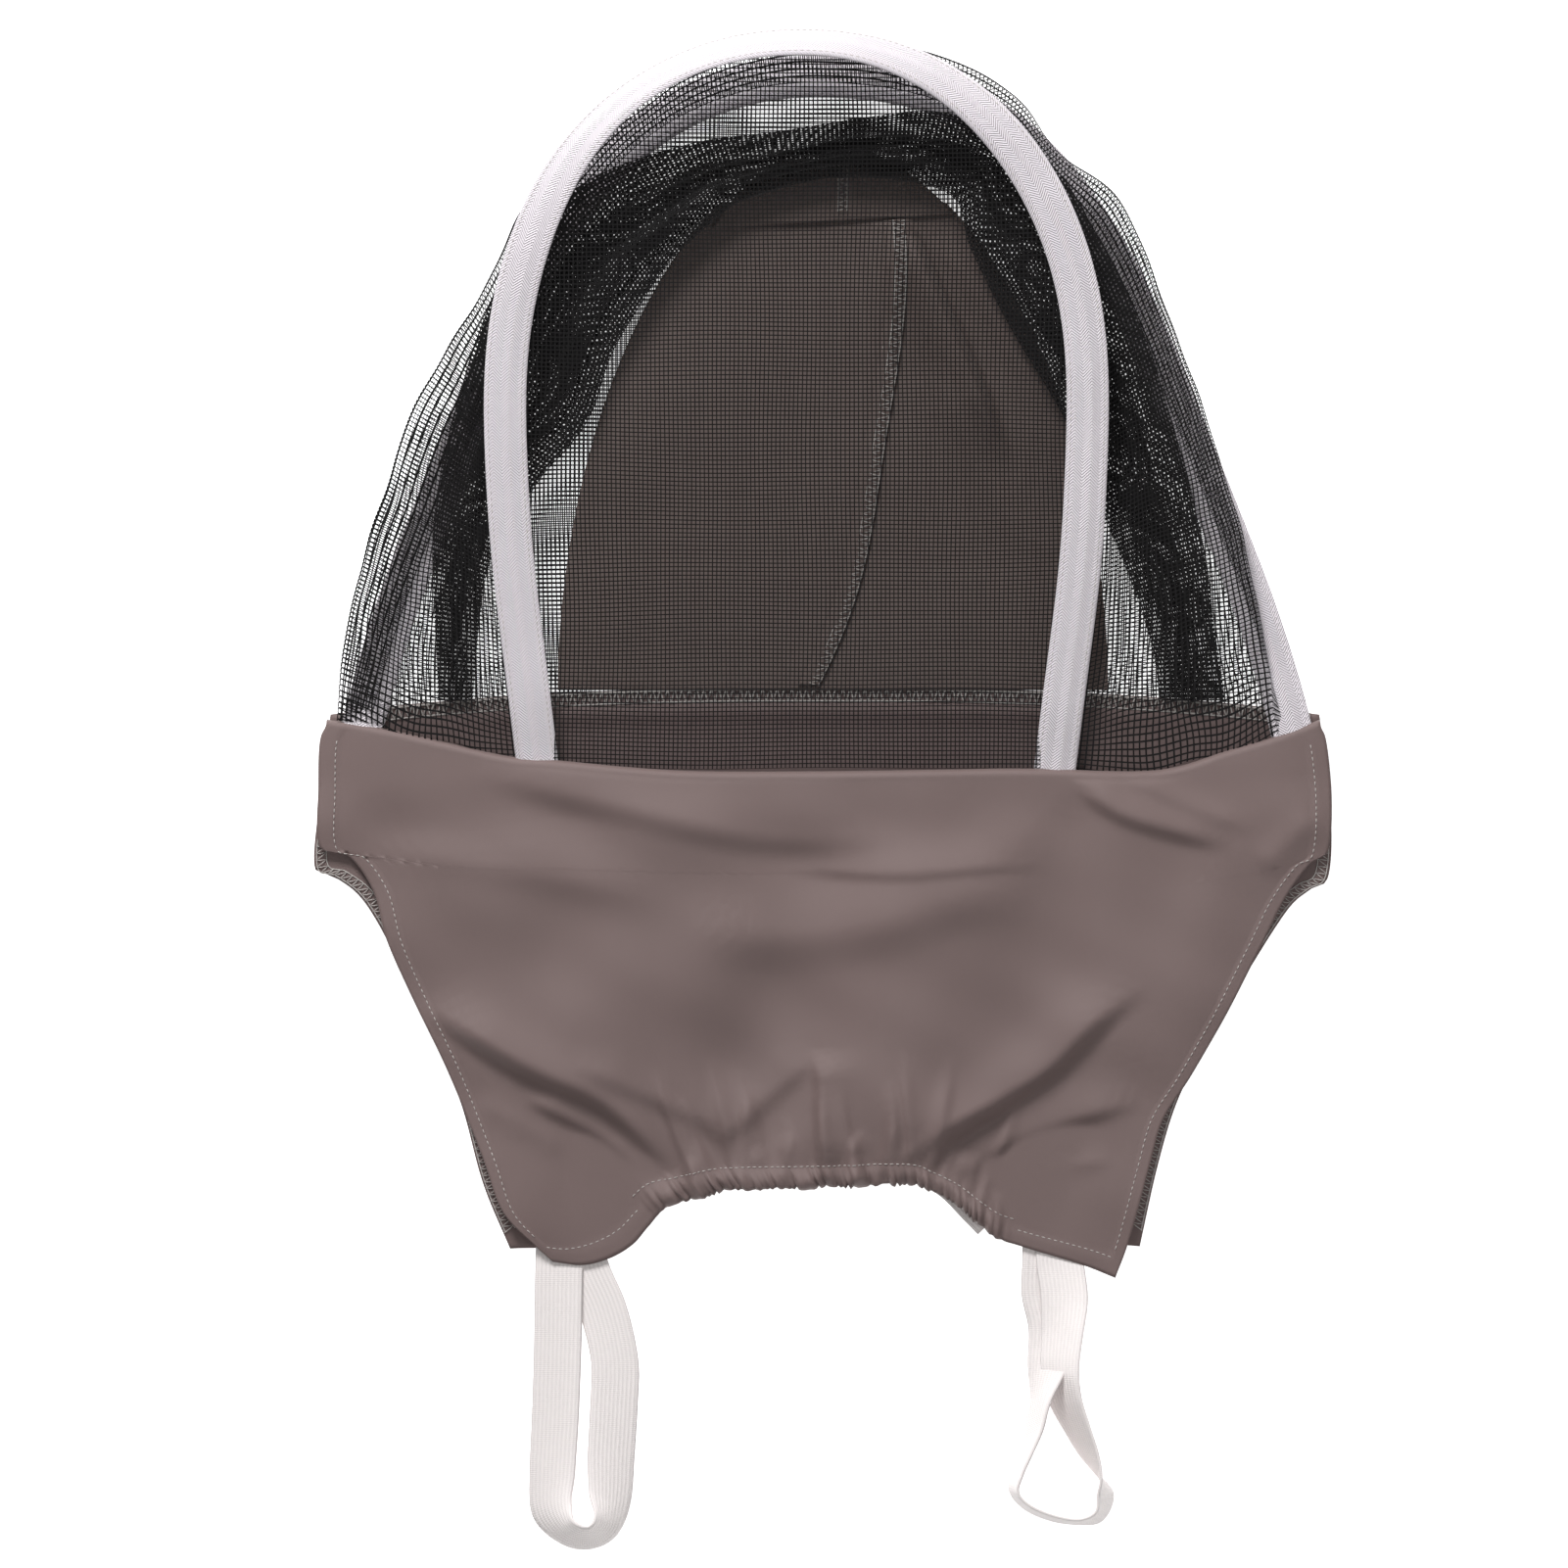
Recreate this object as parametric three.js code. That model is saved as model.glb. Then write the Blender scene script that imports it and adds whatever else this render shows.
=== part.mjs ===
// Beekeeping hood with a shoulder yoke and elastic underarm loops, laid flat on its back.
// Millimetres. +X across the garment, +Y towards the crown, +Z up from the table.

import * as THREE from 'three';

// Cloth, netting and the room left between neighbouring pieces.
const CLOTH_THICKNESS = 1;
const NET_THICKNESS = 0.8;
const GAP = 0.3;
const SEWN_EDGE_GAP = 1.2; // where two curved edges are stepped differently

// Tape folded round each boning strip.
const TAPE_WIDTH = 20;
const TAPE_HEIGHT = 4;
const TAPE_WALL = 0.7;
const BONING_WIDTH = 5;
const BONING_HEIGHT = 1.4;
const ARCH_STEPS = 56;
const BONING_SETBACK = 1; // steps of the arch left free at each foot

// Front arch, round the face window. It leans on the collapsed netting behind it.
const FACE_CENTRE_X = -12;
const FACE_HALF_WIDTH = 127;
const FACE_FOOT_HALF_WIDTH = 111;
const FACE_WIDEST_Y = 165;
const FACE_TOP_Y = 322;
const FACE_FOOT_Z = 9.5;
const FACE_TOP_Z = 42;
const FACE_ROUNDNESS = 2.2;
const FACE_LEG_SHARE = 0.42;
const FACE_LEG_BEND = 1.6;
const FACE_TAPE_ROLL = THREE.MathUtils.degToRad(40);
const FACE_ROLL_CENTRE = 0.47;
const FACE_NET_SAG = 4;

// Rear arch, lying on the table.
const REAR_CENTRE_X = 1;
const REAR_CROWN_HALF_WIDTH = 160;
const CROWN_SETBACK = 8; // the rear arch's top behind the front arch's
const REAR_TOP_Y = FACE_TOP_Y - CROWN_SETBACK;
const REAR_ROUNDNESS = 2.4;

// Cloth panel at the back of the head, in two halves with a band across its top.
const PANEL_CENTRE_X = 4;
const PANEL_HALF_WIDTH = 121;
const PANEL_BOTTOM_Y = 44.6;
const PANEL_TOP_Y = 283;
const PANEL_ROUNDNESS = 1.9;
const BAND_BOTTOM_Y = 250;
const SEAM_TOP_X = 35;
const SEAM_SWEEP = 38;
const SEAM_BEND = 2.4;

// Yoke. Its two panels meet at the shoulders.
const SHOULDER_HALF_WIDTH = 218;
const SHOULDER_Y = 31.3;
const FOLD_CENTRE_Y = 8.8;
const NECK_CENTRE_Y = 44;
const SLEEVE_CORNER_Y = -27;
const HEM_CENTRE_Y = -173;
const HEM_CORNER_X = 123;
const HEM_CORNER_Y = -209;
const GATHER_HALF_WIDTH = 84;
const BACK_CORNER_X = 137;
const BACK_CORNER_Y = -201;
const BACK_HEM_CENTRE_Y = -166;
const FRONT_EDGE_Z = 2.3;
const FRONT_RISE_AT_FOLD = 8;
const FRONT_RISE_AT_HEM = 7;
const HEM_ELASTIC_WIDTH = 8;
const HEM_ELASTIC_INSET = 2;
const TOPSTITCH_INSET = 6.5;

// Feet of the arches, just above the yoke's edges. A foot is cut square to its slanted tape.
const FOOT_SLANT = 0.16;
const FACE_FOOT_CLEARANCE = 2.6;
const REAR_FOOT_CLEARANCE = 2.5;
const REAR_FOOT_INSET = 13; // of its middle from the shoulder
const FACE_FOOT_Y = FOLD_CENTRE_Y + FACE_FOOT_CLEARANCE + FOOT_SLANT * TAPE_WIDTH;
const REAR_FOOT_Y = SHOULDER_Y + REAR_FOOT_CLEARANCE + FOOT_SLANT * TAPE_WIDTH;
const REAR_FOOT_FLARE = SHOULDER_HALF_WIDTH - REAR_FOOT_INSET - REAR_CROWN_HALF_WIDTH;

// Threads and seams.
const THREAD_WIDTH = 0.8;
const THREAD_THICKNESS = 0.4;
const OVERLOCK_WIDTH = 5;
const NECK_OVERLOCK_SETBACK = 33; // of its ends from the shoulders
const TAPE_STITCH_INSET = 1.6;
const TACK_WIDTH = 12;
const TACK_DEPTH = 4;

// Underarm loops of flat elastic.
const ELASTIC_WIDTH = 20;
const ELASTIC_THICKNESS = 1.5;
const LOOP_TOP_Y = -212;
const LOOP_BOTTOM_Y = -332;
const LEFT_STRAND_X = [-119.3, -91.5];
const LEFT_TOP_X = [-117, -95];
const RIGHT_TOP_X = [91, 112];
const RIGHT_NECK_X = 99;
const RIGHT_NECK_HALF_WIDTH = 2.6;
const RIGHT_NECK_Y = -267;
const RIGHT_NECK_SHARE = 0.2; // of the strap's length
const RIGHT_EYE_X = [85, 125];
const RIGHT_EYE_TOP_Y = -292;
const RIGHT_LEAN = THREE.MathUtils.degToRad(60);

const vector = (x, y, z) => new THREE.Vector3(x, y, z);
const { lerp, smoothstep } = THREE.MathUtils;

// ---- Solids ----

// A point's normal on a surface, from its slopes along u and v.
function normalAt(surfaceAt, u, v) {
  const step = 1e-4;
  const alongU = surfaceAt(u + step, v).sub(surfaceAt(u - step, v));
  const alongV = surfaceAt(u, v + step).sub(surfaceAt(u, v - step));
  return alongU.cross(alongV).normalize();
}

// A closed sheet of even thickness with surfaceAt(u, v) at its middle.
function sheet(surfaceAt, thickness, columns, rows) {
  const geometry = new THREE.BoxGeometry(1, 1, 1, columns, rows, 1);
  const points = geometry.attributes.position;
  for (let i = 0; i < points.count; i++) {
    const u = points.getX(i) + 0.5;
    const v = points.getY(i) + 0.5;
    const offset = normalAt(surfaceAt, u, v).multiplyScalar(points.getZ(i) * thickness);
    const place = surfaceAt(u, v).add(offset);
    points.setXYZ(i, place.x, place.y, place.z);
  }
  return geometry;
}

// A closed bar of the section, whose x lies across and y up, from frameAt(0) to frameAt(1).
function bar(section, frameAt, steps) {
  const settings = { depth: 1, steps, bevelEnabled: false };
  const geometry = new THREE.ExtrudeGeometry(section, settings);
  const points = geometry.attributes.position;
  for (let i = 0; i < points.count; i++) {
    const frame = frameAt(points.getZ(i));
    const place = frame.place.clone();
    place.addScaledVector(frame.across, points.getX(i));
    place.addScaledVector(frame.up, points.getY(i));
    points.setXYZ(i, place.x, place.y, place.z);
  }
  return geometry;
}

function rectangle(width, height) {
  const shape = new THREE.Shape();
  shape.moveTo(-width / 2, -height / 2);
  shape.lineTo(width / 2, -height / 2);
  shape.lineTo(width / 2, height / 2);
  shape.lineTo(-width / 2, height / 2);
  shape.closePath();
  return shape;
}

function hollowRectangle(width, height, wall) {
  const shape = rectangle(width, height);
  shape.holes.push(rectangle(width - 2 * wall, height - 2 * wall));
  return shape;
}

// The four-sided patch between two curves across and two curves up its sides.
function patch(bottom, top, left, right) {
  return (u, v) => {
    const across = bottom(u).lerp(top(u), v);
    const upwards = left(v).lerp(right(v), u);
    const lower = bottom(0).lerp(bottom(1), u);
    const upper = top(0).lerp(top(1), u);
    return across.add(upwards).sub(lower.lerp(upper, v));
  };
}

// ---- Arches ----

// An arch's points from its left foot over the top to its right foot. halfAt(share) gives
// its half width and y, from 0 at a foot to 1 at the top.
function archCurve(centreX, halfAt, heightAt) {
  const samples = 24;
  const points = [];
  for (let i = -samples; i <= samples; i++) {
    const half = halfAt(1 - Math.abs(i) / samples);
    const x = centreX + Math.sign(i) * half.width;
    points.push(vector(x, half.y, heightAt(half.y)));
  }
  return new THREE.CatmullRomCurve3(points);
}

// A quarter of a superellipse: its share of the width and of the height at a share of the turn.
function roundedQuarter(share, roundness) {
  const angle = Math.min(share, 1) * Math.PI / 2;
  const width = Math.max(Math.cos(angle), 0) ** (2 / roundness);
  const height = Math.sin(angle) ** (2 / roundness);
  return { width, height };
}

function faceHalfAt(share) {
  if (share < FACE_LEG_SHARE) {
    const y = lerp(FACE_FOOT_Y, FACE_WIDEST_Y, share / FACE_LEG_SHARE);
    const below = (FACE_WIDEST_Y - y) / (FACE_WIDEST_Y - FACE_FOOT_Y);
    const pinch = (FACE_HALF_WIDTH - FACE_FOOT_HALF_WIDTH) * below ** FACE_LEG_BEND;
    return { width: FACE_HALF_WIDTH - pinch, y };
  }
  const turn = (share - FACE_LEG_SHARE) / (1 - FACE_LEG_SHARE);
  const { width, height } = roundedQuarter(turn, FACE_ROUNDNESS);
  return {
    width: FACE_HALF_WIDTH * width,
    y: lerp(FACE_WIDEST_Y, FACE_TOP_Y, height),
  };
}

function rearHalfAt(share) {
  const { width, height } = roundedQuarter(share, REAR_ROUNDNESS);
  const flare = REAR_FOOT_FLARE * (1 - height) ** 1.5;
  return {
    width: REAR_CROWN_HALF_WIDTH * width + flare,
    y: lerp(REAR_FOOT_Y, REAR_TOP_Y, height),
  };
}

function panelHalfAt(share) {
  const { width, height } = roundedQuarter(share, PANEL_ROUNDNESS);
  return { width: PANEL_HALF_WIDTH * width, y: lerp(PANEL_BOTTOM_Y, PANEL_TOP_Y, height) };
}

const faceSlope = (FACE_TOP_Z - FACE_FOOT_Z) / (FACE_TOP_Y - FACE_FOOT_Y);
const faceHeightAt = (y) => FACE_FOOT_Z + faceSlope * (y - FACE_FOOT_Y);
const faceRollAt = (s) => FACE_TAPE_ROLL * (1 - smoothstep(Math.abs(s - FACE_ROLL_CENTRE), 0.04, 0.26));

const faceArch = {
  curve: archCurve(FACE_CENTRE_X, faceHalfAt, faceHeightAt),
  normal: vector(0, -faceSlope, 1).normalize(),
  rollAt: faceRollAt,
};
const rearArch = {
  curve: archCurve(REAR_CENTRE_X, rearHalfAt, () => TAPE_HEIGHT / 2),
  normal: vector(0, 0, 1),
  rollAt: () => 0,
};
const panelOutline = archCurve(PANEL_CENTRE_X, panelHalfAt, () => NET_THICKNESS / 2);

// The tape's frame at a share of the arch: across points outwards, up out of its face.
function tapeFrame(arch, share) {
  const s = THREE.MathUtils.clamp(share, 0, 1);
  const place = arch.curve.getPointAt(s);
  const along = arch.curve.getTangentAt(s);
  const outward = vector(0, 0, 0).crossVectors(arch.normal, along).normalize();
  const roll = arch.rollAt(s);
  const across = outward.clone().multiplyScalar(Math.cos(roll));
  across.addScaledVector(arch.normal, -Math.sin(roll));
  const up = arch.normal.clone().multiplyScalar(Math.cos(roll));
  up.addScaledVector(outward, Math.sin(roll));
  return { place, across, up };
}

function besideTape(arch, share, across, up = 0) {
  const frame = tapeFrame(arch, share);
  frame.place.addScaledVector(frame.across, across);
  return frame.place.addScaledVector(frame.up, up);
}

function archTape(arch) {
  const section = hollowRectangle(TAPE_WIDTH, TAPE_HEIGHT, TAPE_WALL);
  return bar(section, (s) => tapeFrame(arch, s), ARCH_STEPS);
}

function archBoning(arch) {
  const section = rectangle(BONING_WIDTH, BONING_HEIGHT);
  const foot = BONING_SETBACK / ARCH_STEPS;
  const frameAt = (s) => tapeFrame(arch, lerp(foot, 1 - foot, s));
  return bar(section, frameAt, ARCH_STEPS - 2 * BONING_SETBACK);
}

// A line of thread on the tape's face, inset from one of its edges.
function tapeStitching(arch, side) {
  const across = side * (TAPE_WIDTH / 2 - TAPE_STITCH_INSET);
  const up = TAPE_HEIGHT / 2 + GAP + THREAD_THICKNESS / 2;
  const section = rectangle(THREAD_WIDTH, THREAD_THICKNESS);
  const frameAt = (s) => {
    const frame = tapeFrame(arch, s);
    frame.place.addScaledVector(frame.across, across).addScaledVector(frame.up, up);
    return frame;
  };
  return bar(section, frameAt, ARCH_STEPS);
}

// ---- Netting ----

const NET_EDGE = TAPE_WIDTH / 2 + GAP;
const FACE_NET_ROWS = 26;
const FACE_NET_TOP = FACE_NET_ROWS / ARCH_STEPS;

function faceNetAt(u, v) {
  const s = v * FACE_NET_TOP;
  const left = besideTape(faceArch, s, -NET_EDGE);
  const right = besideTape(faceArch, 1 - s, -NET_EDGE);
  const place = left.lerp(right, u);
  place.z -= FACE_NET_SAG * Math.sin(Math.PI * u) * Math.sin(Math.PI * v);
  return place;
}

function gussetAt(u, v) {
  const front = besideTape(faceArch, u, NET_EDGE + SEWN_EDGE_GAP);
  const above = TAPE_HEIGHT / 2 + GAP + NET_THICKNESS;
  const rear = besideTape(rearArch, u, 0, above);
  return front.lerp(rear, v);
}

function rearNetAt(u, v) {
  const outer = besideTape(rearArch, u, -NET_EDGE);
  outer.z = NET_THICKNESS / 2;
  const inner = panelOutline.getPointAt(THREE.MathUtils.clamp(u, 0, 1));
  return outer.lerp(inner, v);
}

// ---- Hood cloth ----

function panelHalfWidth(y) {
  const height = THREE.MathUtils.clamp((y - PANEL_BOTTOM_Y) / (PANEL_TOP_Y - PANEL_BOTTOM_Y), 0, 1);
  const width = (1 - height ** PANEL_ROUNDNESS) ** (1 / PANEL_ROUNDNESS);
  return PANEL_HALF_WIDTH * width - SEWN_EDGE_GAP;
}

function seamX(y) {
  const share = THREE.MathUtils.clamp((y - PANEL_BOTTOM_Y) / (BAND_BOTTOM_Y - PANEL_BOTTOM_Y), 0, 1);
  return SEAM_TOP_X - SEAM_SWEEP * (1 - share) ** SEAM_BEND;
}

function panelHalf(side) {
  return (u, v) => {
    const y = lerp(PANEL_BOTTOM_Y, BAND_BOTTOM_Y - GAP, v);
    const seam = seamX(y) + side * GAP / 2;
    const edge = PANEL_CENTRE_X + side * panelHalfWidth(y);
    const x = side < 0 ? lerp(edge, seam, u) : lerp(seam, edge, u);
    return vector(x, y, CLOTH_THICKNESS / 2);
  };
}

function bandAt(u, v) {
  const y = lerp(BAND_BOTTOM_Y, PANEL_TOP_Y - 3 * SEWN_EDGE_GAP, v);
  const x = PANEL_CENTRE_X + lerp(-1, 1, u) * panelHalfWidth(y);
  return vector(x, y, CLOTH_THICKNESS / 2);
}

const OVERLOCK_Z = CLOTH_THICKNESS + GAP + THREAD_WIDTH / 2;

function backSeamAt(u, v) {
  const y = lerp(PANEL_BOTTOM_Y + OVERLOCK_WIDTH, BAND_BOTTOM_Y - OVERLOCK_WIDTH, v);
  return vector(seamX(y) + (u - 0.5) * OVERLOCK_WIDTH, y, OVERLOCK_Z);
}

function crownSeamAt(u, v) {
  const y = lerp(BAND_BOTTOM_Y + GAP, PANEL_TOP_Y - OVERLOCK_WIDTH, v);
  return vector(PANEL_CENTRE_X + (u - 0.5) * OVERLOCK_WIDTH, y, OVERLOCK_Z);
}

// ---- Yoke ----

// One side of a yoke panel from its hem corner up to the shoulder, side -1 or 1.
function yokeSide(side, cornerX, cornerY) {
  const points = [
    [cornerX, cornerY],
    [lerp(cornerX, SHOULDER_HALF_WIDTH, 0.28), lerp(cornerY, SLEEVE_CORNER_Y, 0.3)],
    [lerp(cornerX, SHOULDER_HALF_WIDTH, 0.5), lerp(cornerY, SLEEVE_CORNER_Y, 0.57)],
    [lerp(cornerX, SHOULDER_HALF_WIDTH, 0.74), lerp(cornerY, SLEEVE_CORNER_Y, 0.81)],
    [SHOULDER_HALF_WIDTH - 14, SLEEVE_CORNER_Y - 11],
    [SHOULDER_HALF_WIDTH + 3, SLEEVE_CORNER_Y],
    [SHOULDER_HALF_WIDTH + 4, 0],
    [SHOULDER_HALF_WIDTH, SHOULDER_Y],
  ];
  const curve = new THREE.CatmullRomCurve3(points.map(([x, y]) => vector(side * x, y, 0)));
  return (v) => curve.getPoint(THREE.MathUtils.clamp(v, 0, 1));
}

function frontHemAt(x) {
  const away = Math.abs(x);
  const gather = 27 * smoothstep(away, 25, GATHER_HALF_WIDTH + 4);
  const corner = HEM_CENTRE_Y - 27 - HEM_CORNER_Y;
  return HEM_CENTRE_Y - gather - corner * smoothstep(away, GATHER_HALF_WIDTH + 4, HEM_CORNER_X);
}

function backHemAt(x) {
  const drop = BACK_HEM_CENTRE_Y - BACK_CORNER_Y;
  return BACK_HEM_CENTRE_Y - drop * smoothstep(Math.abs(x), 25, BACK_CORNER_X);
}

const foldAt = (x) => {
  const away = Math.abs(x) / SHOULDER_HALF_WIDTH;
  return lerp(FOLD_CENTRE_Y, SHOULDER_Y, away ** 4);
};
const neckAt = (x) => {
  const away = Math.abs(x) / SHOULDER_HALF_WIDTH;
  return lerp(NECK_CENTRE_Y, SHOULDER_Y, away ** 2.5);
};

// The front panel rises from the back one towards its middle, most at the neck fold.
function frontHeight(x, y) {
  const rise = lerp(FRONT_RISE_AT_HEM, FRONT_RISE_AT_FOLD, smoothstep(y, HEM_CENTRE_Y, FOLD_CENTRE_Y));
  const down = THREE.MathUtils.clamp((SLEEVE_CORNER_Y - y) / (SLEEVE_CORNER_Y - HEM_CORNER_Y), 0, 1);
  const half = lerp(SHOULDER_HALF_WIDTH, HEM_CORNER_X, down);
  return FRONT_EDGE_Z + rise * Math.max(0, 1 - (x / half) ** 2);
}

function frontYokeAt() {
  const across = (edgeAt, half) => (u) => {
    const x = lerp(-half, half, u);
    return vector(x, edgeAt(x), 0);
  };
  const surface = patch(
    across(frontHemAt, HEM_CORNER_X),
    across(foldAt, SHOULDER_HALF_WIDTH),
    yokeSide(-1, HEM_CORNER_X, HEM_CORNER_Y),
    yokeSide(1, HEM_CORNER_X, HEM_CORNER_Y),
  );
  return (u, v) => {
    const place = surface(u, v);
    place.z = frontHeight(place.x, place.y);
    return place;
  };
}

function backYokeAt() {
  const across = (edgeAt, half) => (u) => {
    const x = lerp(-half, half, u);
    return vector(x, edgeAt(x), CLOTH_THICKNESS / 2);
  };
  const surface = patch(
    across(backHemAt, BACK_CORNER_X),
    across(neckAt, SHOULDER_HALF_WIDTH),
    yokeSide(-1, BACK_CORNER_X, BACK_CORNER_Y),
    yokeSide(1, BACK_CORNER_X, BACK_CORNER_Y),
  );
  return (u, v) => surface(u, v).setZ(CLOTH_THICKNESS / 2);
}

function neckOverlockAt(u, v) {
  const half = SHOULDER_HALF_WIDTH - NECK_OVERLOCK_SETBACK;
  const x = lerp(-half, half, u);
  return vector(x, neckAt(x) - OVERLOCK_WIDTH * (1.1 - v), OVERLOCK_Z);
}

function frontElasticAt(u, v) {
  const x = lerp(-GATHER_HALF_WIDTH, GATHER_HALF_WIDTH, u);
  const y = frontHemAt(x) + HEM_ELASTIC_INSET + v * HEM_ELASTIC_WIDTH;
  return vector(x, y, frontHeight(x, y) - CLOTH_THICKNESS - GAP);
}

function backElasticAt(u, v) {
  const x = lerp(-GATHER_HALF_WIDTH, GATHER_HALF_WIDTH, u);
  const y = backHemAt(x) + HEM_ELASTIC_INSET + v * HEM_ELASTIC_WIDTH;
  return vector(x, y, 1.5 * CLOTH_THICKNESS + GAP);
}

const THREAD_ABOVE = CLOTH_THICKNESS / 2 + GAP + THREAD_THICKNESS / 2;

function hemStitchAt(u, v) {
  const x = lerp(-GATHER_HALF_WIDTH, GATHER_HALF_WIDTH, u);
  const y = frontHemAt(x) + HEM_ELASTIC_WIDTH + 2 * HEM_ELASTIC_INSET + v * THREAD_WIDTH;
  return vector(x, y, frontHeight(x, y) + THREAD_ABOVE);
}

function armholeStitchAt(side) {
  const edge = yokeSide(side, HEM_CORNER_X, HEM_CORNER_Y);
  return (u, v) => {
    const along = lerp(0.06, 0.66, v);
    const inset = TOPSTITCH_INSET + (side < 0 ? 1 - u : u) * THREAD_WIDTH;
    const place = edge(along);
    const slope = edge(along + 0.01).sub(edge(along - 0.01)).normalize();
    place.add(vector(-side * slope.y, side * slope.x, 0).multiplyScalar(inset));
    place.z = frontHeight(place.x, place.y) + THREAD_ABOVE;
    return place;
  };
}

// ---- Loops ----

// A flat ribbon along a curve in plan, leaning over by leanAt(s) from flat.
function ribbon(curve, leanAt, steps) {
  const surfaceAt = (u, v) => {
    const s = THREE.MathUtils.clamp(v, 0, 1);
    const place = curve.getPointAt(s);
    const along = curve.getTangentAt(s);
    const lean = leanAt(s);
    const outward = vector(-along.y, along.x, 0).normalize();
    const across = (u - 0.5) * ELASTIC_WIDTH;
    place.addScaledVector(outward, across * Math.cos(lean));
    place.z = ELASTIC_THICKNESS / 2 * Math.cos(lean) + ELASTIC_WIDTH / 2 * Math.sin(lean);
    place.z += across * Math.sin(lean);
    return place;
  };
  return sheet(surfaceAt, ELASTIC_THICKNESS, 1, steps);
}

function leftLoop() {
  const radius = (LEFT_STRAND_X[1] - LEFT_STRAND_X[0]) / 2;
  const centre = vector(LEFT_STRAND_X[0] + radius, LOOP_BOTTOM_Y + radius + ELASTIC_WIDTH / 2, 0);
  const path = new THREE.CurvePath();
  const down = vector(LEFT_STRAND_X[0], centre.y, 0);
  const up = vector(LEFT_STRAND_X[1], centre.y, 0);
  path.add(new THREE.LineCurve3(vector(LEFT_TOP_X[0], LOOP_TOP_Y, 0), down));
  const turn = [];
  for (let i = 0; i <= 8; i++) {
    const angle = Math.PI * (1 + i / 8);
    turn.push(vector(centre.x + radius * Math.cos(angle), centre.y + radius * Math.sin(angle), 0));
  }
  path.add(new THREE.CatmullRomCurve3(turn));
  path.add(new THREE.LineCurve3(up, vector(LEFT_TOP_X[1], LOOP_TOP_Y, 0)));
  return ribbon(path, () => 0, 40);
}

function rightLoop() {
  const [leftX, rightX] = RIGHT_EYE_X;
  const bottomY = LOOP_BOTTOM_Y + ELASTIC_WIDTH / 2;
  const points = [
    vector(RIGHT_TOP_X[0], LOOP_TOP_Y, 0),
    vector(lerp(RIGHT_TOP_X[0], RIGHT_NECK_X, 0.4), lerp(LOOP_TOP_Y, RIGHT_NECK_Y, 0.6), 0),
    vector(RIGHT_NECK_X - RIGHT_NECK_HALF_WIDTH, RIGHT_NECK_Y, 0),
    vector(leftX + 4, RIGHT_EYE_TOP_Y, 0),
    vector(leftX, bottomY + 8, 0),
    vector(leftX + 8, bottomY, 0),
    vector(rightX - 8, bottomY, 0),
    vector(rightX, bottomY + 8, 0),
    vector(rightX - 8, RIGHT_EYE_TOP_Y, 0),
    vector(RIGHT_NECK_X + RIGHT_NECK_HALF_WIDTH, RIGHT_NECK_Y, 0),
    vector(lerp(RIGHT_TOP_X[1], RIGHT_NECK_X, 0.4), lerp(LOOP_TOP_Y, RIGHT_NECK_Y, 0.6), 0),
    vector(RIGHT_TOP_X[1], LOOP_TOP_Y, 0),
  ];
  const curve = new THREE.CatmullRomCurve3(points, false, 'centripetal');
  // Flat where it is sewn on, on edge at the neck, and leaning round the eye.
  const leanAt = (s) => {
    const fromEnd = Math.min(s, 1 - s);
    const rise = smoothstep(fromEnd, 0.02, RIGHT_NECK_SHARE) * Math.PI / 2;
    return lerp(rise, RIGHT_LEAN, smoothstep(fromEnd, RIGHT_NECK_SHARE, 0.38));
  };
  return ribbon(curve, leanAt, 60);
}

function tackAt(x, y, z) {
  return (u, v) => vector(x + (u - 0.5) * TACK_WIDTH, y + (v - 0.5) * TACK_DEPTH, z);
}

// ---- Materials ----

const taupe = { color: 0x887a72, roughness: 0.75, metalness: 0 };
const black = { color: 0x232021, roughness: 0.6, metalness: 0 };
const white = { color: 0xded8de, roughness: 0.85, metalness: 0 };
const elasticWhite = { color: 0xe2dbd9, roughness: 0.8, metalness: 0 };
const thread = { color: 0xb5afac, roughness: 0.8, metalness: 0 };
const plastic = { color: 0xe6e6e2, roughness: 0.5, metalness: 0 };

const garment = new THREE.Group();

function add(name, geometry, finish) {
  const mesh = new THREE.Mesh(geometry, new THREE.MeshStandardMaterial(finish));
  mesh.name = name;
  garment.add(mesh);
}

// ---- Assembly ----

const frontYoke = frontYokeAt();
add('front_yoke_panel', sheet(frontYoke, CLOTH_THICKNESS, 24, 18), taupe);
add('back_yoke_panel', sheet(backYokeAt(), CLOTH_THICKNESS, 18, 14), taupe);
add('neck_overlock', sheet(neckOverlockAt, THREAD_WIDTH, 20, 1), thread);
add('front_hem_elastic', sheet(frontElasticAt, CLOTH_THICKNESS, 20, 1), elasticWhite);
add('back_hem_elastic', sheet(backElasticAt, CLOTH_THICKNESS, 12, 1), elasticWhite);
add('front_hem_stitching', sheet(hemStitchAt, THREAD_THICKNESS, 20, 1), thread);
add('left_armhole_stitching', sheet(armholeStitchAt(-1), THREAD_THICKNESS, 1, 24), thread);
add('right_armhole_stitching', sheet(armholeStitchAt(1), THREAD_THICKNESS, 1, 24), thread);

for (const [side, name] of [[-1, 'left'], [1, 'right']]) {
  const frontX = side * 101;
  const frontY = frontHemAt(frontX) + 4;
  const frontZ = frontHeight(frontX, frontY) + 2 * THREAD_ABOVE;
  add(`${name}_front_tack`, sheet(tackAt(frontX, frontY, frontZ), THREAD_THICKNESS, 1, 1), thread);
  const backX = side * 112;
  const backZ = CLOTH_THICKNESS + GAP + THREAD_THICKNESS / 2;
  add(`${name}_back_tack`, sheet(tackAt(backX, HEM_CORNER_Y + 16, backZ), THREAD_THICKNESS, 1, 1), thread);
}

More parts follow.
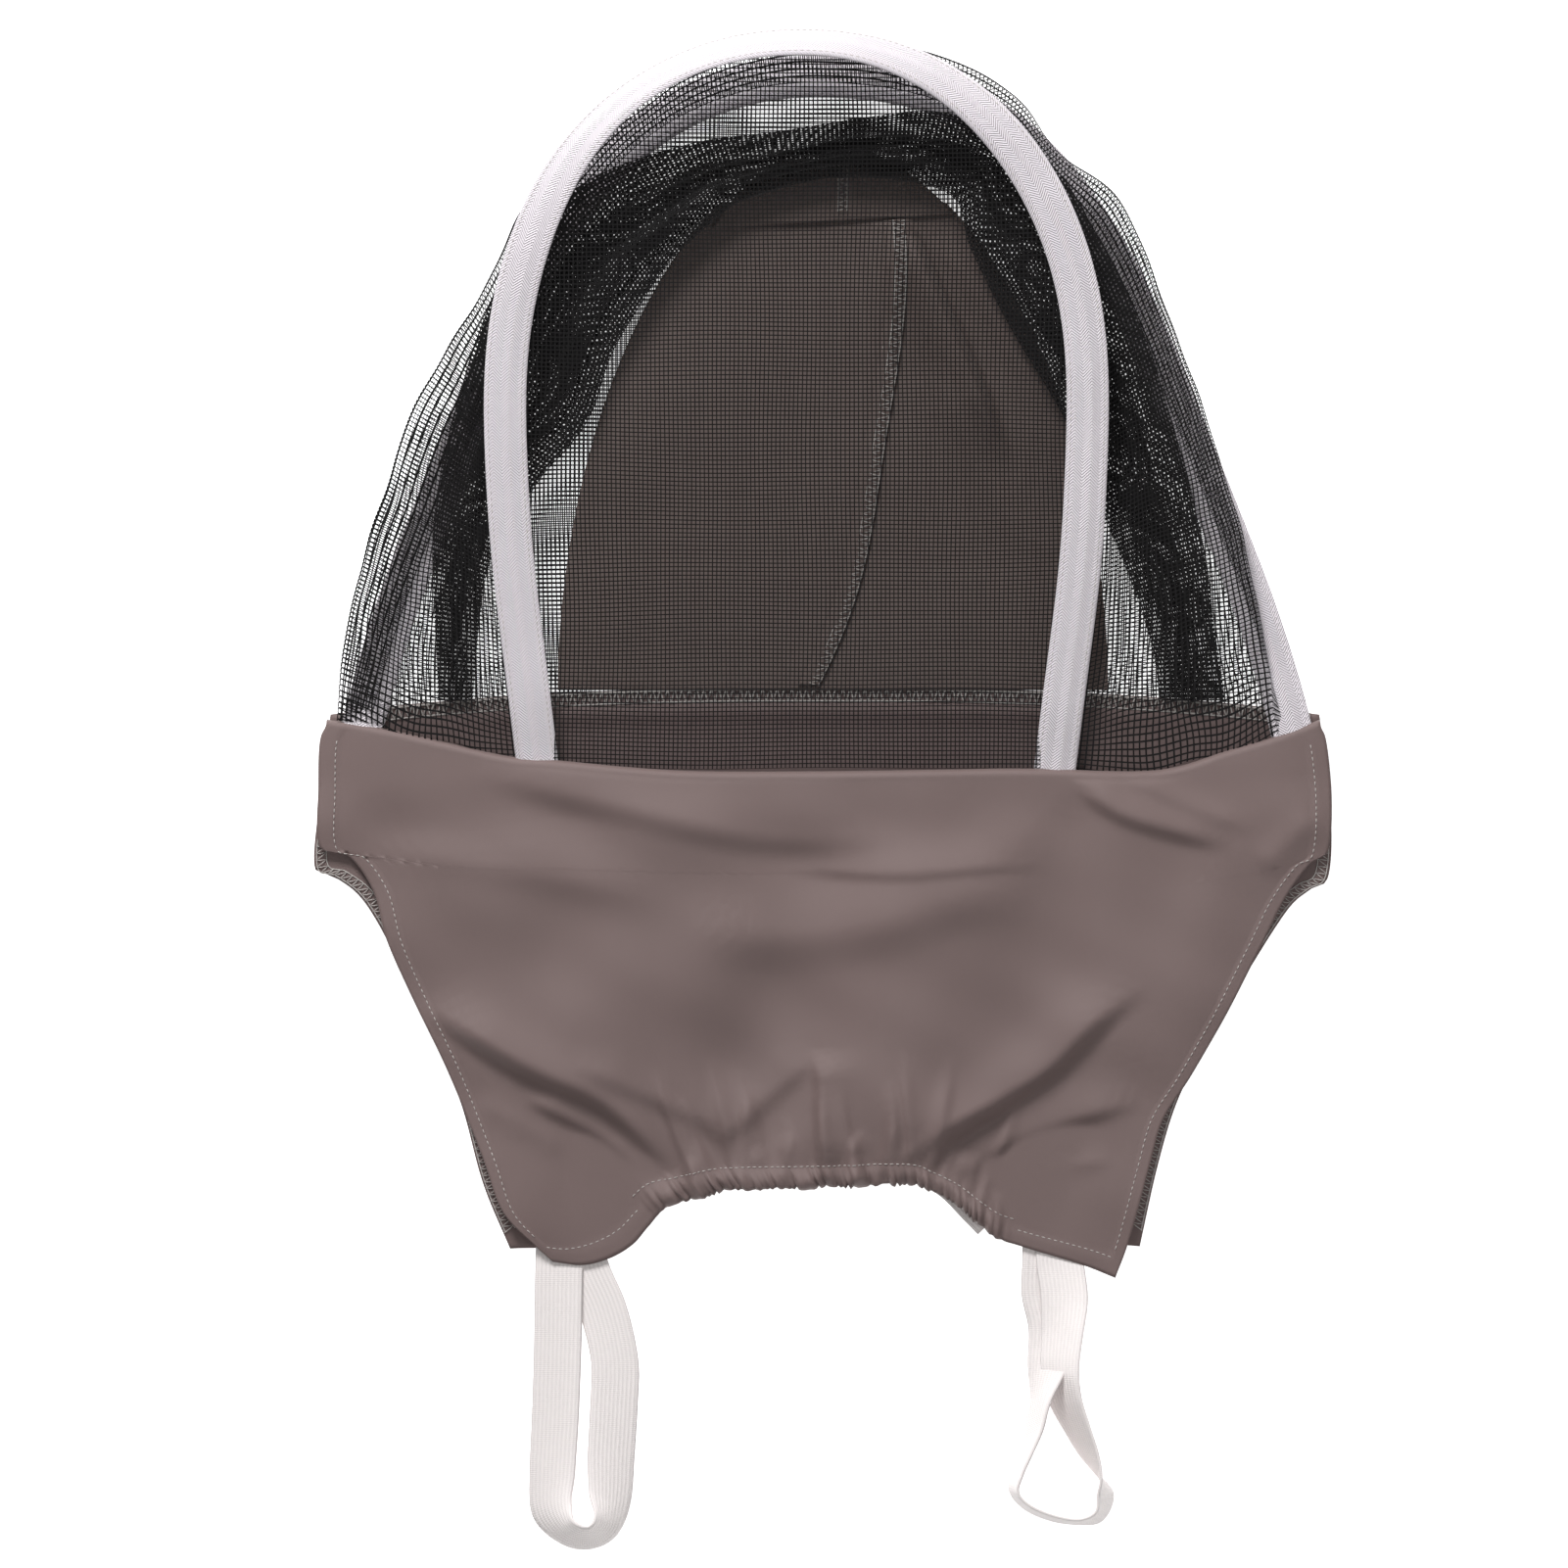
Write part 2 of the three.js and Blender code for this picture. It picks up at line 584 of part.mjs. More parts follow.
add('front_arch_tape', archTape(faceArch), white);
add('front_arch_boning', archBoning(faceArch), plastic);
add('front_tape_outer_stitching', tapeStitching(faceArch, 1), thread);
add('front_tape_inner_stitching', tapeStitching(faceArch, -1), thread);
add('face_netting', sheet(faceNetAt, NET_THICKNESS, 12, FACE_NET_ROWS), black);

add('rear_arch_tape', archTape(rearArch), white);
add('rear_arch_boning', archBoning(rearArch), plastic);
add('gusset_netting', sheet(gussetAt, NET_THICKNESS, ARCH_STEPS, 4), black);
add('rear_netting', sheet(rearNetAt, NET_THICKNESS, ARCH_STEPS, 3), black);
add('left_hood_panel', sheet(panelHalf(-1), CLOTH_THICKNESS, 6, 14), taupe);
add('right_hood_panel', sheet(panelHalf(1), CLOTH_THICKNESS, 6, 14), taupe);
add('hood_crown_band', sheet(bandAt, CLOTH_THICKNESS, 8, 4), taupe);
add('centre_back_overlock', sheet(backSeamAt, THREAD_WIDTH, 1, 16), thread);
add('crown_overlock', sheet(crownSeamAt, THREAD_WIDTH, 1, 2), thread);

add('left_elastic_loop', leftLoop(), elasticWhite);
add('right_elastic_loop', rightLoop(), elasticWhite);

// The origin is at the middle of the footprint, on the table.
const reach = new THREE.Box3().setFromObject(garment, true);
const middle = reach.getCenter(vector(0, 0, 0));
garment.position.set(-middle.x, -middle.y, -reach.min.z);

export default garment;
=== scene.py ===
import math
import random

import bmesh
import bpy
import numpy as np
from mathutils import Matrix, Vector


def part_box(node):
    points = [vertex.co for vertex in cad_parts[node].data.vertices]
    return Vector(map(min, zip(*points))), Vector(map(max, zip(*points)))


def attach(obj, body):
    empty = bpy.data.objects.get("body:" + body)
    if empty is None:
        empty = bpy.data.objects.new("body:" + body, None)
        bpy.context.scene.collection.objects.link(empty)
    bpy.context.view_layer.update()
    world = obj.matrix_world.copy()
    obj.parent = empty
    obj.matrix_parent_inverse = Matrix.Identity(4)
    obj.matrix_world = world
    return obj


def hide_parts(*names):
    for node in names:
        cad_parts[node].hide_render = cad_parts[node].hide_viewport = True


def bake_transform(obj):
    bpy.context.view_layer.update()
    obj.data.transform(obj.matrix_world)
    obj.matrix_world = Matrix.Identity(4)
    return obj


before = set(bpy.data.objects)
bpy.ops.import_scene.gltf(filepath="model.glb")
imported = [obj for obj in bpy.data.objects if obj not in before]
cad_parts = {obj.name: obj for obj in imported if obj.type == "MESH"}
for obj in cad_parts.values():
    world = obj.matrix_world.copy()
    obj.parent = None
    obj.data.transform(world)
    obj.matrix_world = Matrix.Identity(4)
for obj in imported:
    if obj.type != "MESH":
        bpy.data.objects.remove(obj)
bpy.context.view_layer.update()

bl_info = {
    "name": "Beekeeping Hood",
    "version": (1, 0, 0),
    "blender": (4, 5, 0),
    "location": "3D View > Sidebar > Hood",
    "description": "Builds a netted beekeeping hood with its shoulder yoke and elastic loops",
    "category": "Add Mesh",
}

MM = 0.001
UV_UNIT = 0.01  # one unit of a UV map is a centimetre of cloth

# ---------------------------------------------------------------- curves and numbers


def smooth(value, low, high):
    """0 below low, 1 above high, and an easy S between them."""
    t = np.clip((np.asarray(value, float) - low) / (high - low), 0.0, 1.0)
    return t * t * (3 - 2 * t)


def mix(a, b, share):
    return a + (b - a) * share


def spline(points, steps=24):
    """A smooth curve through the points, with as many steps from each to the next."""
    p = np.array(points, float)
    p = np.vstack([2 * p[0] - p[1], p, 2 * p[-1] - p[-2]])
    dense = []
    for i in range(1, len(p) - 2):
        t = np.linspace(0, 1, steps, endpoint=False)[:, None]
        dense.append(0.5 * (2 * p[i] + (p[i + 1] - p[i - 1]) * t
                            + (2 * p[i - 1] - 5 * p[i] + 4 * p[i + 1] - p[i + 2]) * t**2
                            + (3 * p[i] - p[i - 1] - 3 * p[i + 1] + p[i + 2]) * t**3))
    return np.vstack(dense + [p[-2:-1]])


def through(points, count=400):
    """Evenly spaced points on a smooth curve through a few chosen ones, in millimetres."""
    return evenly(spline(points), count)


def lengths(line):
    steps = np.linalg.norm(np.diff(line, axis=0), axis=1)
    return np.concatenate([[0.0], np.cumsum(steps)])


def evenly(line, count):
    along = lengths(line)
    at = np.linspace(0, along[-1], count)
    return np.stack([np.interp(at, along, line[:, k]) for k in range(line.shape[1])], axis=1)


def at_share(line, share):
    """Points at shares from 0 to 1 of an evenly spaced line."""
    at = np.clip(share, 0, 1) * (len(line) - 1)
    index = np.arange(len(line))
    return np.stack([np.interp(at, index, line[:, k]) for k in range(line.shape[1])], axis=-1)


def directions(line):
    along = np.gradient(line, axis=0)
    return along / np.maximum(np.linalg.norm(along, axis=1), 1e-9)[:, None]


def ripple(x, y, size, seed):
    """A smooth uneven swell from about -1 to 1 whose waves are about size long."""
    draw = random.Random(seed)
    total = np.zeros_like(np.asarray(x, float))
    waves = 7
    for _ in range(waves):
        angle = draw.uniform(0, math.tau)
        long = size * draw.uniform(0.7, 1.6)
        phase = draw.uniform(0, math.tau)
        total += np.sin(math.tau * (x * math.cos(angle) + y * math.sin(angle)) / long + phase)
    return total / math.sqrt(waves) / 1.4


def fold(x, y, points, height, width, lean=0.0, drop=0.0):
    """The height that one fold adds along a line, seen from its left end: a rounded ridge, steeper
    below by a negative lean, with the cloth below it lower by drop, and fading out at both ends."""
    line = through(points, 64)
    way = directions(line)
    gap = np.stack([x, y], axis=1)[:, None] - line[None]
    nearest = np.argmin((gap**2).sum(axis=2), axis=1)
    gap = gap[np.arange(len(x)), nearest]
    off = gap[:, 0] * way[nearest, 1] - gap[:, 1] * way[nearest, 0]
    share = nearest / (len(line) - 1)
    far = np.linalg.norm(gap, axis=1)
    side = (1 + lean * np.tanh(off / width * 2)) * width
    ends = smooth(share, 0, 0.25) * (1 - smooth(share, 0.7, 1))
    lower = drop * smooth(off / width, -0.2, 1.1) * (1 - smooth(far, 18, 60))
    return ends * (height * np.exp(-((far / side) ** 1.8)) - lower)


def inside(polygon, x, y):
    """True where a point lies in a polygon."""
    within = np.zeros(np.shape(x), bool)
    previous = polygon[-1]
    for corner in polygon:
        crosses = (corner[1] > y) != (previous[1] > y)
        rise = previous[1] - corner[1]
        rise = rise if abs(rise) > 1e-12 else 1e-12
        cut = (previous[0] - corner[0]) * (y - corner[1]) / rise + corner[0]
        within ^= crosses & (x < cut)
        previous = corner
    return within


# ---------------------------------------------------------------- arches

FACE_LOW, FACE_HIGH = (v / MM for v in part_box("front_arch_tape"))
REAR_LOW, REAR_HIGH = (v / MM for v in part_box("rear_arch_tape"))
PANEL_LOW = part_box("left_hood_panel")[0] / MM
BAND_LOW, BAND_HIGH = (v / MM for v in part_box("hood_crown_band"))

TAPE = 20.0  # as cut; it looks narrower where it is folded
TAPE_FOLDED = 18.4
FACE_X = (FACE_LOW.x + FACE_HIGH.x) / 2
FACE_HALF = (FACE_HIGH.x - FACE_LOW.x - TAPE) / 2
FACE_FOOT_HALF = FACE_HALF - 14.0
FACE_FOOT_Y = FACE_LOW.y - 5.0
FACE_WIDE_Y = 165.0
FACE_TOP_Y = FACE_HIGH.y - 7.0
FACE_FOOT_Z = FACE_LOW.z + 1.5
FACE_SLOPE = 0.1057  # its rise for each millimetre towards the crown
LEG_SHARE = 0.42  # of each side of the face arch, below its widest place
REAR_X = (REAR_LOW.x + REAR_HIGH.x) / 2
REAR_FOOT_Y = REAR_LOW.y - 10.0
REAR_TOP_Y = REAR_HIGH.y - TAPE / 2
REAR_SPREAD = 45.0  # of its feet, out from the rounded arch
REAR_WAIST = 8.0  # drawn in half way up
CROWN_ROLL = math.radians(52)  # of the front tape, which stands up there
PLAN_STEPS, PLAN_POINTS = 120, 481  # along half an arch as worked out, and then along all of it


def quarter(share, roundness):
    """A quarter of a rounded arch: how wide and how high it is, each from 0 to 1."""
    angle = np.clip(share, 0, 1) * math.pi / 2
    return np.maximum(np.cos(angle), 0) ** (2 / roundness), np.sin(angle) ** (2 / roundness)


def mirrored(half, centre):
    """A whole arch from its half, which runs from the foot to the top."""
    left = np.stack([centre - half[:, 0], half[:, 1]], axis=1)
    right = np.stack([centre + half[:, 0], half[:, 1]], axis=1)[::-1]
    return np.vstack([left, right[1:]])


def face_plan():
    share = np.linspace(0, 1, PLAN_STEPS)
    leg_y = mix(FACE_FOOT_Y, FACE_WIDE_Y, share / LEG_SHARE)
    below = np.clip((FACE_WIDE_Y - leg_y) / (FACE_WIDE_Y - FACE_FOOT_Y), 0, 1)
    leg_x = FACE_HALF - (FACE_HALF - FACE_FOOT_HALF) * below**1.6
    wide, high = quarter((share - LEG_SHARE) / (1 - LEG_SHARE), 2.2)
    x = np.where(share < LEG_SHARE, leg_x, FACE_HALF * wide)
    y = np.where(share < LEG_SHARE, leg_y, mix(FACE_WIDE_Y, FACE_TOP_Y, high))
    return evenly(mirrored(np.stack([x, y], axis=1), FACE_X), PLAN_POINTS)


def rear_plan():
    wide, high = quarter(np.linspace(0, 1, PLAN_STEPS), 2.4)
    half = (REAR_HIGH.x - REAR_LOW.x - TAPE) / 2
    x = (half - REAR_SPREAD) * wide + REAR_SPREAD * (1 - high) ** 1.5
    x = x - REAR_WAIST * np.sin(math.pi * high) ** 2
    y = mix(REAR_FOOT_Y, REAR_TOP_Y, high)
    return evenly(mirrored(np.stack([x, y], axis=1), REAR_X), PLAN_POINTS)


def face_height(y):
    return FACE_FOOT_Z + FACE_SLOPE * (y - FACE_FOOT_Y)


class Arch:
    """A sewn tape's path: its centre line, and at each point the directions across and up."""

    def __init__(self, plan, height, slope, roll, seed):
        z = height(plan[:, 1])
        self.line = np.column_stack([plan, z])
        share = np.linspace(0, 1, len(plan))
        along = directions(self.line)
        normal = np.array([0.0, -slope, 1.0])
        normal /= np.linalg.norm(normal)
        outward = np.cross(np.broadcast_to(normal, along.shape), along)
        outward /= np.linalg.norm(outward, axis=1)[:, None]
        turn = roll(share)[:, None]
        self.across = outward * np.cos(turn) - normal * np.sin(turn)
        self.up = normal * np.cos(turn) + outward * np.sin(turn)
        wander = ripple(self.line[:, 0], self.line[:, 1], 90, seed)[:, None]
        self.line = self.line + outward * wander * 0.5
        self.length = lengths(self.line)[-1]

    def at(self, share, across=0.0, up=0.0):
        across = np.asarray(across, float)[..., None]
        up = np.asarray(up, float)[..., None]
        place = at_share(self.line, share)
        return place + at_share(self.across, share) * across + at_share(self.up, share) * up


def face_roll(share):
    """How far the front tape rolls up on its edge, most at the crown."""
    return CROWN_ROLL * (1 - smooth(np.abs(share - 0.47), 0.03, 0.24))


def face_path_height(y):
    """The face arch's height, which dips where its feet go under the front yoke's fold."""
    return face_height(y) - 1.8 * (1 - smooth(y, 10, 40))


def rear_path_height(y):
    """The rear arch's height, which rises at its feet, where they lie on the back yoke."""
    return 2.2 + 1.6 * (1 - smooth(y, 34, 60))


FACE = Arch(face_plan(), face_path_height, FACE_SLOPE, face_roll, 3)
REAR = Arch(rear_plan(), rear_path_height, 0.0, np.zeros_like, 5)

# The outer fold of the netting, from the left foot over the crown to the right foot.
NET_OUTER = through([
    (-215, 33), (-211, 66), (-204, 95), (-192, 134), (-181, 167), (-164, 196), (-147, 225),
    (-134, 252), (-119, 269), (-84, 301), (-40, 325), (5, 330), (46, 323), (82, 305),
    (105, 277), (128, 260), (146, 222), (166, 170), (178, 133), (186, 102), (194, 64), (200, 30),
])
# The gusset netting turns from the rear arch to the face arch between these two heights, which rise
# towards the crown by the tilt.
NET_TURN_LOW, NET_TURN_HIGH, NET_TILT = 4.0, 7.0, 0.05
NET_ENDS = 0.1  # of its rows at each end, which reach from those heights to the arches
NET_BEND = 0.82  # of its rows, before the outer fold
NET_FOOT_DROP = 14.0  # by which its feet hang below those of the arches
GUSSET_LENGTH, PLEAT_LENGTH, PLEAT_DEPTH = 780, 640, 46  # millimetres, to count threads by
# The deep pleat in the gusset netting lies between these two lines.
PLEAT_INNER = through([
    (-146, 40), (-143, 100), (-128, 132), (-111, 152), (-101, 168), (-84, 209), (-49, 250), (-25, 262),
    (10, 269), (54, 262), (64, 238), (81, 206), (106, 161), (120, 128), (130, 100), (140, 68), (146, 40),
])
PLEAT_OUTER = through([
    (-176, 40), (-175, 102), (-166, 150), (-148, 208), (-127, 245), (-104, 267), (-60, 283), (-18, 289),
    (20, 295), (52, 297), (88, 284), (112, 258), (139, 204), (156, 150), (170, 100), (178, 40),
])

# ---------------------------------------------------------------- making meshes


def shown(name, mesh, material):
    """The mesh as a smooth object of one material, in the scene."""
    mesh.materials.clear()
    mesh.materials.append(material)
    mesh.polygons.foreach_set("use_smooth", [True] * len(mesh.polygons))
    piece = bpy.data.objects.new(name, mesh)
    bpy.context.scene.collection.objects.link(piece)
    return piece


def finished(bm, name, material):
    """The bmesh, in millimetres, as an object in metres with its material."""
    bm.normal_update()
    mesh = bpy.data.meshes.new(name)
    bm.to_mesh(mesh)
    bm.free()
    mesh.transform(Matrix.Scale(MM, 4))
    return shown(name, mesh, material)


def coordinates(bm):
    return np.array([v.co for v in bm.verts], float).reshape(-1, 3)


def put(bm, places):
    for vertex, place in zip(bm.verts, places):
        vertex.co = place


def unit_grid(columns, rows):
    """A flat grid from 0 to 1 each way, with a UV map."""
    bm = bmesh.new()
    bm.loops.layers.uv.new("UVMap")
    bmesh.ops.create_grid(bm, x_segments=columns, y_segments=rows, size=0.5, calc_uvs=True)
    bmesh.ops.translate(bm, verts=bm.verts, vec=(0.5, 0.5, 0))
    return bm


def set_uv(bm, width, length):
    layer = bm.loops.layers.uv.active
    scale = MM / UV_UNIT
    for face in bm.faces:
        for loop in face.loops:
            u, v = loop[layer].uv
            loop[layer].uv = (u * width * scale, v * length * scale)


def cloth(name, surface, columns, rows, size, thick, material):
    """A cloth panel: a grid laid on surface(u, v), with a UV map of its flat size, made solid."""
    bm = unit_grid(columns, rows)
    flat = coordinates(bm)
    set_uv(bm, *size)
    put(bm, surface(flat[:, 0], flat[:, 1]))
    bmesh.ops.recalc_face_normals(bm, faces=bm.faces)
    if sum(face.normal.z for face in bm.faces) < 0:
        bmesh.ops.reverse_faces(bm, faces=bm.faces)
    piece = finished(bm, name, material)
    wall = piece.modifiers.new("thickness", "SOLIDIFY")
    wall.thickness = thick * MM
    wall.offset = 0
    return piece


def netting(name, surface, columns, rows, thread, cell=None, keep=None):
    """Square netting of flat threads on surface(x, y), each thread's half width a share of a cell.
    Cells are squares of cell millimetres of a flat sheet, or shares of it where cell is None, and
    keep(x, y) leaves some out."""
    bm = bmesh.new()
    bmesh.ops.create_grid(bm, x_segments=columns, y_segments=rows, size=0.5)
    wide = cell * columns if cell else columns
    long = cell * rows if cell else rows
    bmesh.ops.scale(bm, vec=(wide, long, 1), verts=bm.verts)
    bmesh.ops.translate(bm, verts=bm.verts, vec=(wide / 2, long / 2, 0))
    if keep:
        centres = np.array([f.calc_center_median() for f in bm.faces])
        kept = keep(centres[:, 0], centres[:, 1])
        gone = [f for f, stays in zip(bm.faces[:], kept) if not stays]
        bmesh.ops.delete(bm, geom=gone, context="FACES")
    holes = bm.faces[:]
    bmesh.ops.inset_individual(bm, faces=holes, thickness=thread * (cell or 1), use_even_offset=True)
    bmesh.ops.delete(bm, geom=holes, context="FACES_ONLY")
    flat = coordinates(bm)
    if cell:
        put(bm, surface(flat[:, 0], flat[:, 1]))
    else:
        put(bm, surface(flat[:, 0] / columns, flat[:, 1] / rows))
    return finished(bm, name, finish_of("black_netting"))


def along_tape(name, arch, section, start, end, steps, material):
    """A bar along an arch. section is a list of (across, up) corners, in order round it."""
    around = len(section)
    bm = unit_grid(around, steps)
    flat = coordinates(bm)
    ring = np.array(list(section) + [section[0]], float)
    corner = np.clip(np.rint(flat[:, 0] * around).astype(int), 0, around)
    share = mix(start, end, flat[:, 1])
    girth = lengths(ring)[-1]
    set_uv(bm, girth, arch.length * (end - start))
    put(bm, arch.at(share, ring[corner, 0], ring[corner, 1]))
    bmesh.ops.remove_doubles(bm, verts=bm.verts, dist=1e-4)
    rims = [edge for edge in bm.edges if edge.is_boundary]
    bmesh.ops.holes_fill(bm, edges=rims, sides=0)
    bmesh.ops.recalc_face_normals(bm, faces=bm.faces)
    return finished(bm, name, material)


def threads(name, lines, radius):
    """Round grey threads along the lines, in millimetres, as one mesh."""
    curve = bpy.data.curves.new(name, "CURVE")
    curve.dimensions = "3D"
    curve.bevel_depth = radius * MM
    curve.bevel_resolution = 1
    curve.use_fill_caps = True
    for line in lines:
        strand = curve.splines.new("POLY")
        strand.points.add(len(line) - 1)
        for point, place in zip(strand.points, line):
            point.co = (*(np.array(place) * MM), 1)
    source = bpy.data.objects.new(name, curve)
    mesh = bpy.data.meshes.new_from_object(source)
    bpy.data.objects.remove(source)
    bpy.data.curves.remove(curve)
    return shown(name, mesh, finish_of("grey_thread"))


def stitches(name, lines, pitch, long, radius, thread="grey_thread"):
    """Rows of single stitches, each a small stretched bead that dips at its ends."""
    bm = bmesh.new()
    shape = Matrix.Diagonal((long / 2, radius, radius * 0.8, 1))
    steps = 8  # of the line, from one stitch to the next
    for line in lines:
        count = max(1, int(lengths(line)[-1] / pitch))
        points = evenly(line, count * steps + 1)
        along = directions(points)
        for at in range(steps // 2, count * steps, steps):
            turn = Vector(along[at]).to_track_quat("X", "Z").to_matrix().to_4x4()
            bmesh.ops.create_icosphere(
                bm, subdivisions=1, radius=1, matrix=Matrix.Translation(points[at]) @ turn @ shape)
    return finished(bm, name, finish_of(thread))


# One loop of an overlocked edge: how far across it goes, as a share of the width, and how high.
OVERLOCK_LOOP = ((0.0, 0.25), (0.62, 0.35), (1.0, 0.1), (0.38, 0.3))


def overlock(line, across, width, pitch, up):
    """The looped thread of an overlocked edge: a zigzag between a line and its far side, with a
    straight thread along each."""
    count = int(lengths(line)[-1] / pitch) * len(OVERLOCK_LOOP) + 1
    points, sideways = evenly(line, count), evenly(across, count)
    zigzag, needle = [], []
    for i, (point, side) in enumerate(zip(points, sideways)):
        reach, lift = OVERLOCK_LOOP[i % len(OVERLOCK_LOOP)]
        zigzag.append(point + side * width * reach + np.array([0, 0, up + lift]))
        needle.append(point + side * width * 0.08 + np.array([0, 0, up + 0.1]))
    edge = [p + s * width + np.array([0, 0, up]) for p, s in zip(points, sideways)]
    return [zigzag, needle, edge]


# ---------------------------------------------------------------- finishes

WEAVE = 22  # of the cloth, threads for each centimetre
TWILL = 7.5  # of the tape, ridges for each centimetre
CORDS, PICKS = 5.5, 12  # of the elastic, for each centimetre across it and along it


class Shade:
    """A number or colour coming out of a node. Arithmetic on numbers adds Math nodes."""

    def __init__(self, finish, socket):
        self.finish = finish
        self.socket = socket

    def math(self, operation, other=None, swapped=False):
        pair = [other, self] if swapped else [self, other]
        return self.finish.add("ShaderNodeMath", {"operation": operation}, pair)

    def __add__(self, other):
        return self.math("ADD", other)

    def __radd__(self, other):
        return self.math("ADD", other)

    def __sub__(self, other):
        return self.math("SUBTRACT", other)

    def __rsub__(self, other):
        return self.math("SUBTRACT", other, swapped=True)

    def __mul__(self, other):
        return self.math("MULTIPLY", other)

    def __rmul__(self, other):
        return self.math("MULTIPLY", other)

    def sine(self):
        return self.math("SINE")


class Finish:
    """A material whose Principled shader's own sockets take the constants given."""

    def __init__(self, name, **constants):
        self.material = bpy.data.materials.new(name)
        self.material.use_nodes = True
        self.tree = self.material.node_tree
        self.shader = next(n for n in self.tree.nodes if n.type == "BSDF_PRINCIPLED")
        for socket, value in constants.items():
            self.shader.inputs[socket.replace("_", " ")].default_value = value

    def add(self, kind, settings=None, inputs=(), output=0):
        node = self.tree.nodes.new(kind)
        for key, value in (settings or {}).items():
            setattr(node, key, value)
        pairs = inputs.items() if isinstance(inputs, dict) else enumerate(inputs)
        for key, value in pairs:
            if isinstance(value, Shade):
                self.tree.links.new(value.socket, node.inputs[key])
            elif value is not None:
                node.inputs[key].default_value = value
        return Shade(self, node.outputs[output])

    def object_place(self):
        return self.add("ShaderNodeTexCoord", output=3)

    def uv_place(self):
        return self.add("ShaderNodeTexCoord", output=2)

    def noise(self, place, scale, detail, stretch=(1, 1, 1)):
        spot = self.add("ShaderNodeMapping", {}, {"Vector": place, "Scale": stretch})
        return self.add("ShaderNodeTexNoise", {}, {"Vector": spot, "Scale": scale, "Detail": detail})

    def mixed(self, factor, first, second):
        settings = {"data_type": "RGBA", "clamp_factor": True}
        return self.add("ShaderNodeMix", settings, {0: factor, 6: (*first, 1), 7: (*second, 1)}, output=2)

    def dye(self, tone, colour, dark, light):
        """The colour, times dark where the tone is 0 and times light where it is 1."""
        first, second = (tuple(min(1.0, c * factor) for c in colour) for factor in (dark, light))
        self.feed("Base Color", self.mixed(tone, first, second))

    def feed(self, socket, shade):
        self.tree.links.new(shade.socket, self.shader.inputs[socket])

    def bump(self, height, strength, distance):
        inputs = {"Strength": strength, "Distance": distance, "Height": height}
        self.feed("Normal", self.add("ShaderNodeBump", {}, inputs))


def uv_axes(finish):
    return [finish.add("ShaderNodeSeparateXYZ", {}, [finish.uv_place()], output=axis) for axis in (0, 1)]


def cloth_finish(name, colour, sheen):
    finish = Finish(name, Sheen_Weight=sheen, Sheen_Roughness=0.35, Sheen_Tint=(1, 0.93, 0.88, 1))
    place = finish.object_place()
    across, along = uv_axes(finish)
    cloudy = finish.noise(place, 9.0, 2.0)
    slub = finish.noise(finish.uv_place(), 6.0, 3.0, (0.6, 9.0, 1.0))
    weave = (across * (math.tau * WEAVE)).sine() * (along * (math.tau * WEAVE)).sine()
    tone = cloudy * 0.55 + slub * 0.45
    finish.dye(tone, colour, 0.82, 1.17)
    finish.feed("Roughness", slub * 0.12 + 0.56)
    finish.bump(weave * 0.35 + slub * 0.5, 0.35, 0.00025)
    return finish.material


def netting_finish(name, colour):
    finish = Finish(name, Specular_IOR_Level=0.14)
    speck = finish.noise(finish.object_place(), 420.0, 2.0)
    soft = finish.noise(finish.object_place(), 14.0, 2.0)
    finish.dye(soft * 0.6 + speck * 0.4, colour, 0.5, 1.7)
    finish.feed("Roughness", speck * 0.3 + 0.42)
    finish.bump(speck, 0.4, 0.0001)
    return finish.material


def tape_finish(name, colour):
    """Herringbone twill: slanting ridges that turn back at each stripe along the tape."""
    finish = Finish(name, Sheen_Weight=0.15)
    across, along = uv_axes(finish)
    stripe = finish.add("ShaderNodeMath", {"operation": "PINGPONG"}, [across, 0.36])
    ridge_height = ((along + stripe) * (math.tau * TWILL)).sine()
    speck = finish.noise(finish.uv_place(), 26.0, 2.0)
    cloudy = finish.noise(finish.object_place(), 24.0, 2.0)
    tone = ridge_height * 0.22 + cloudy * 0.5 + speck * 0.3
    finish.dye(tone, colour, 0.78, 1.07)
    finish.feed("Roughness", speck * 0.2 + 0.68)
    finish.bump(ridge_height * 0.7 + speck * 0.4, 0.8, 0.0005)
    return finish.material


def elastic_finish(name, colour):
    """Ribbed elastic: cords along it, with fine picks across them."""
    finish = Finish(name, Sheen_Weight=0.1)
    across, along = uv_axes(finish)
    cords = (across * (math.tau * CORDS)).sine()
    picks = (along * (math.tau * PICKS)).sine()
    speck = finish.noise(finish.uv_place(), 18.0, 2.0)
    finish.dye(cords * 0.3 + speck * 0.5 + 0.2, colour, 0.9, 1.05)
    finish.feed("Roughness", speck * 0.2 + 0.66)
    finish.bump(cords * 0.6 + picks * 0.3, 0.5, 0.0003)
    return finish.material


def thread_finish(name, colour):
    finish = Finish(name, Sheen_Weight=0.2)
    speck = finish.noise(finish.object_place(), 900.0, 2.0)
    finish.dye(speck, colour, 0.75, 1.15)
    finish.feed("Roughness", speck * 0.2 + 0.6)
    finish.bump(speck, 0.4, 0.0001)
    return finish.material


def plastic_finish(name, colour):
    finish = Finish(name)
    speck = finish.noise(finish.object_place(), 60.0, 2.0)
    finish.dye(speck, colour, 0.95, 1.0)
    finish.feed("Roughness", speck * 0.15 + 0.4)
    finish.bump(speck, 0.1, 0.0001)
    return finish.material


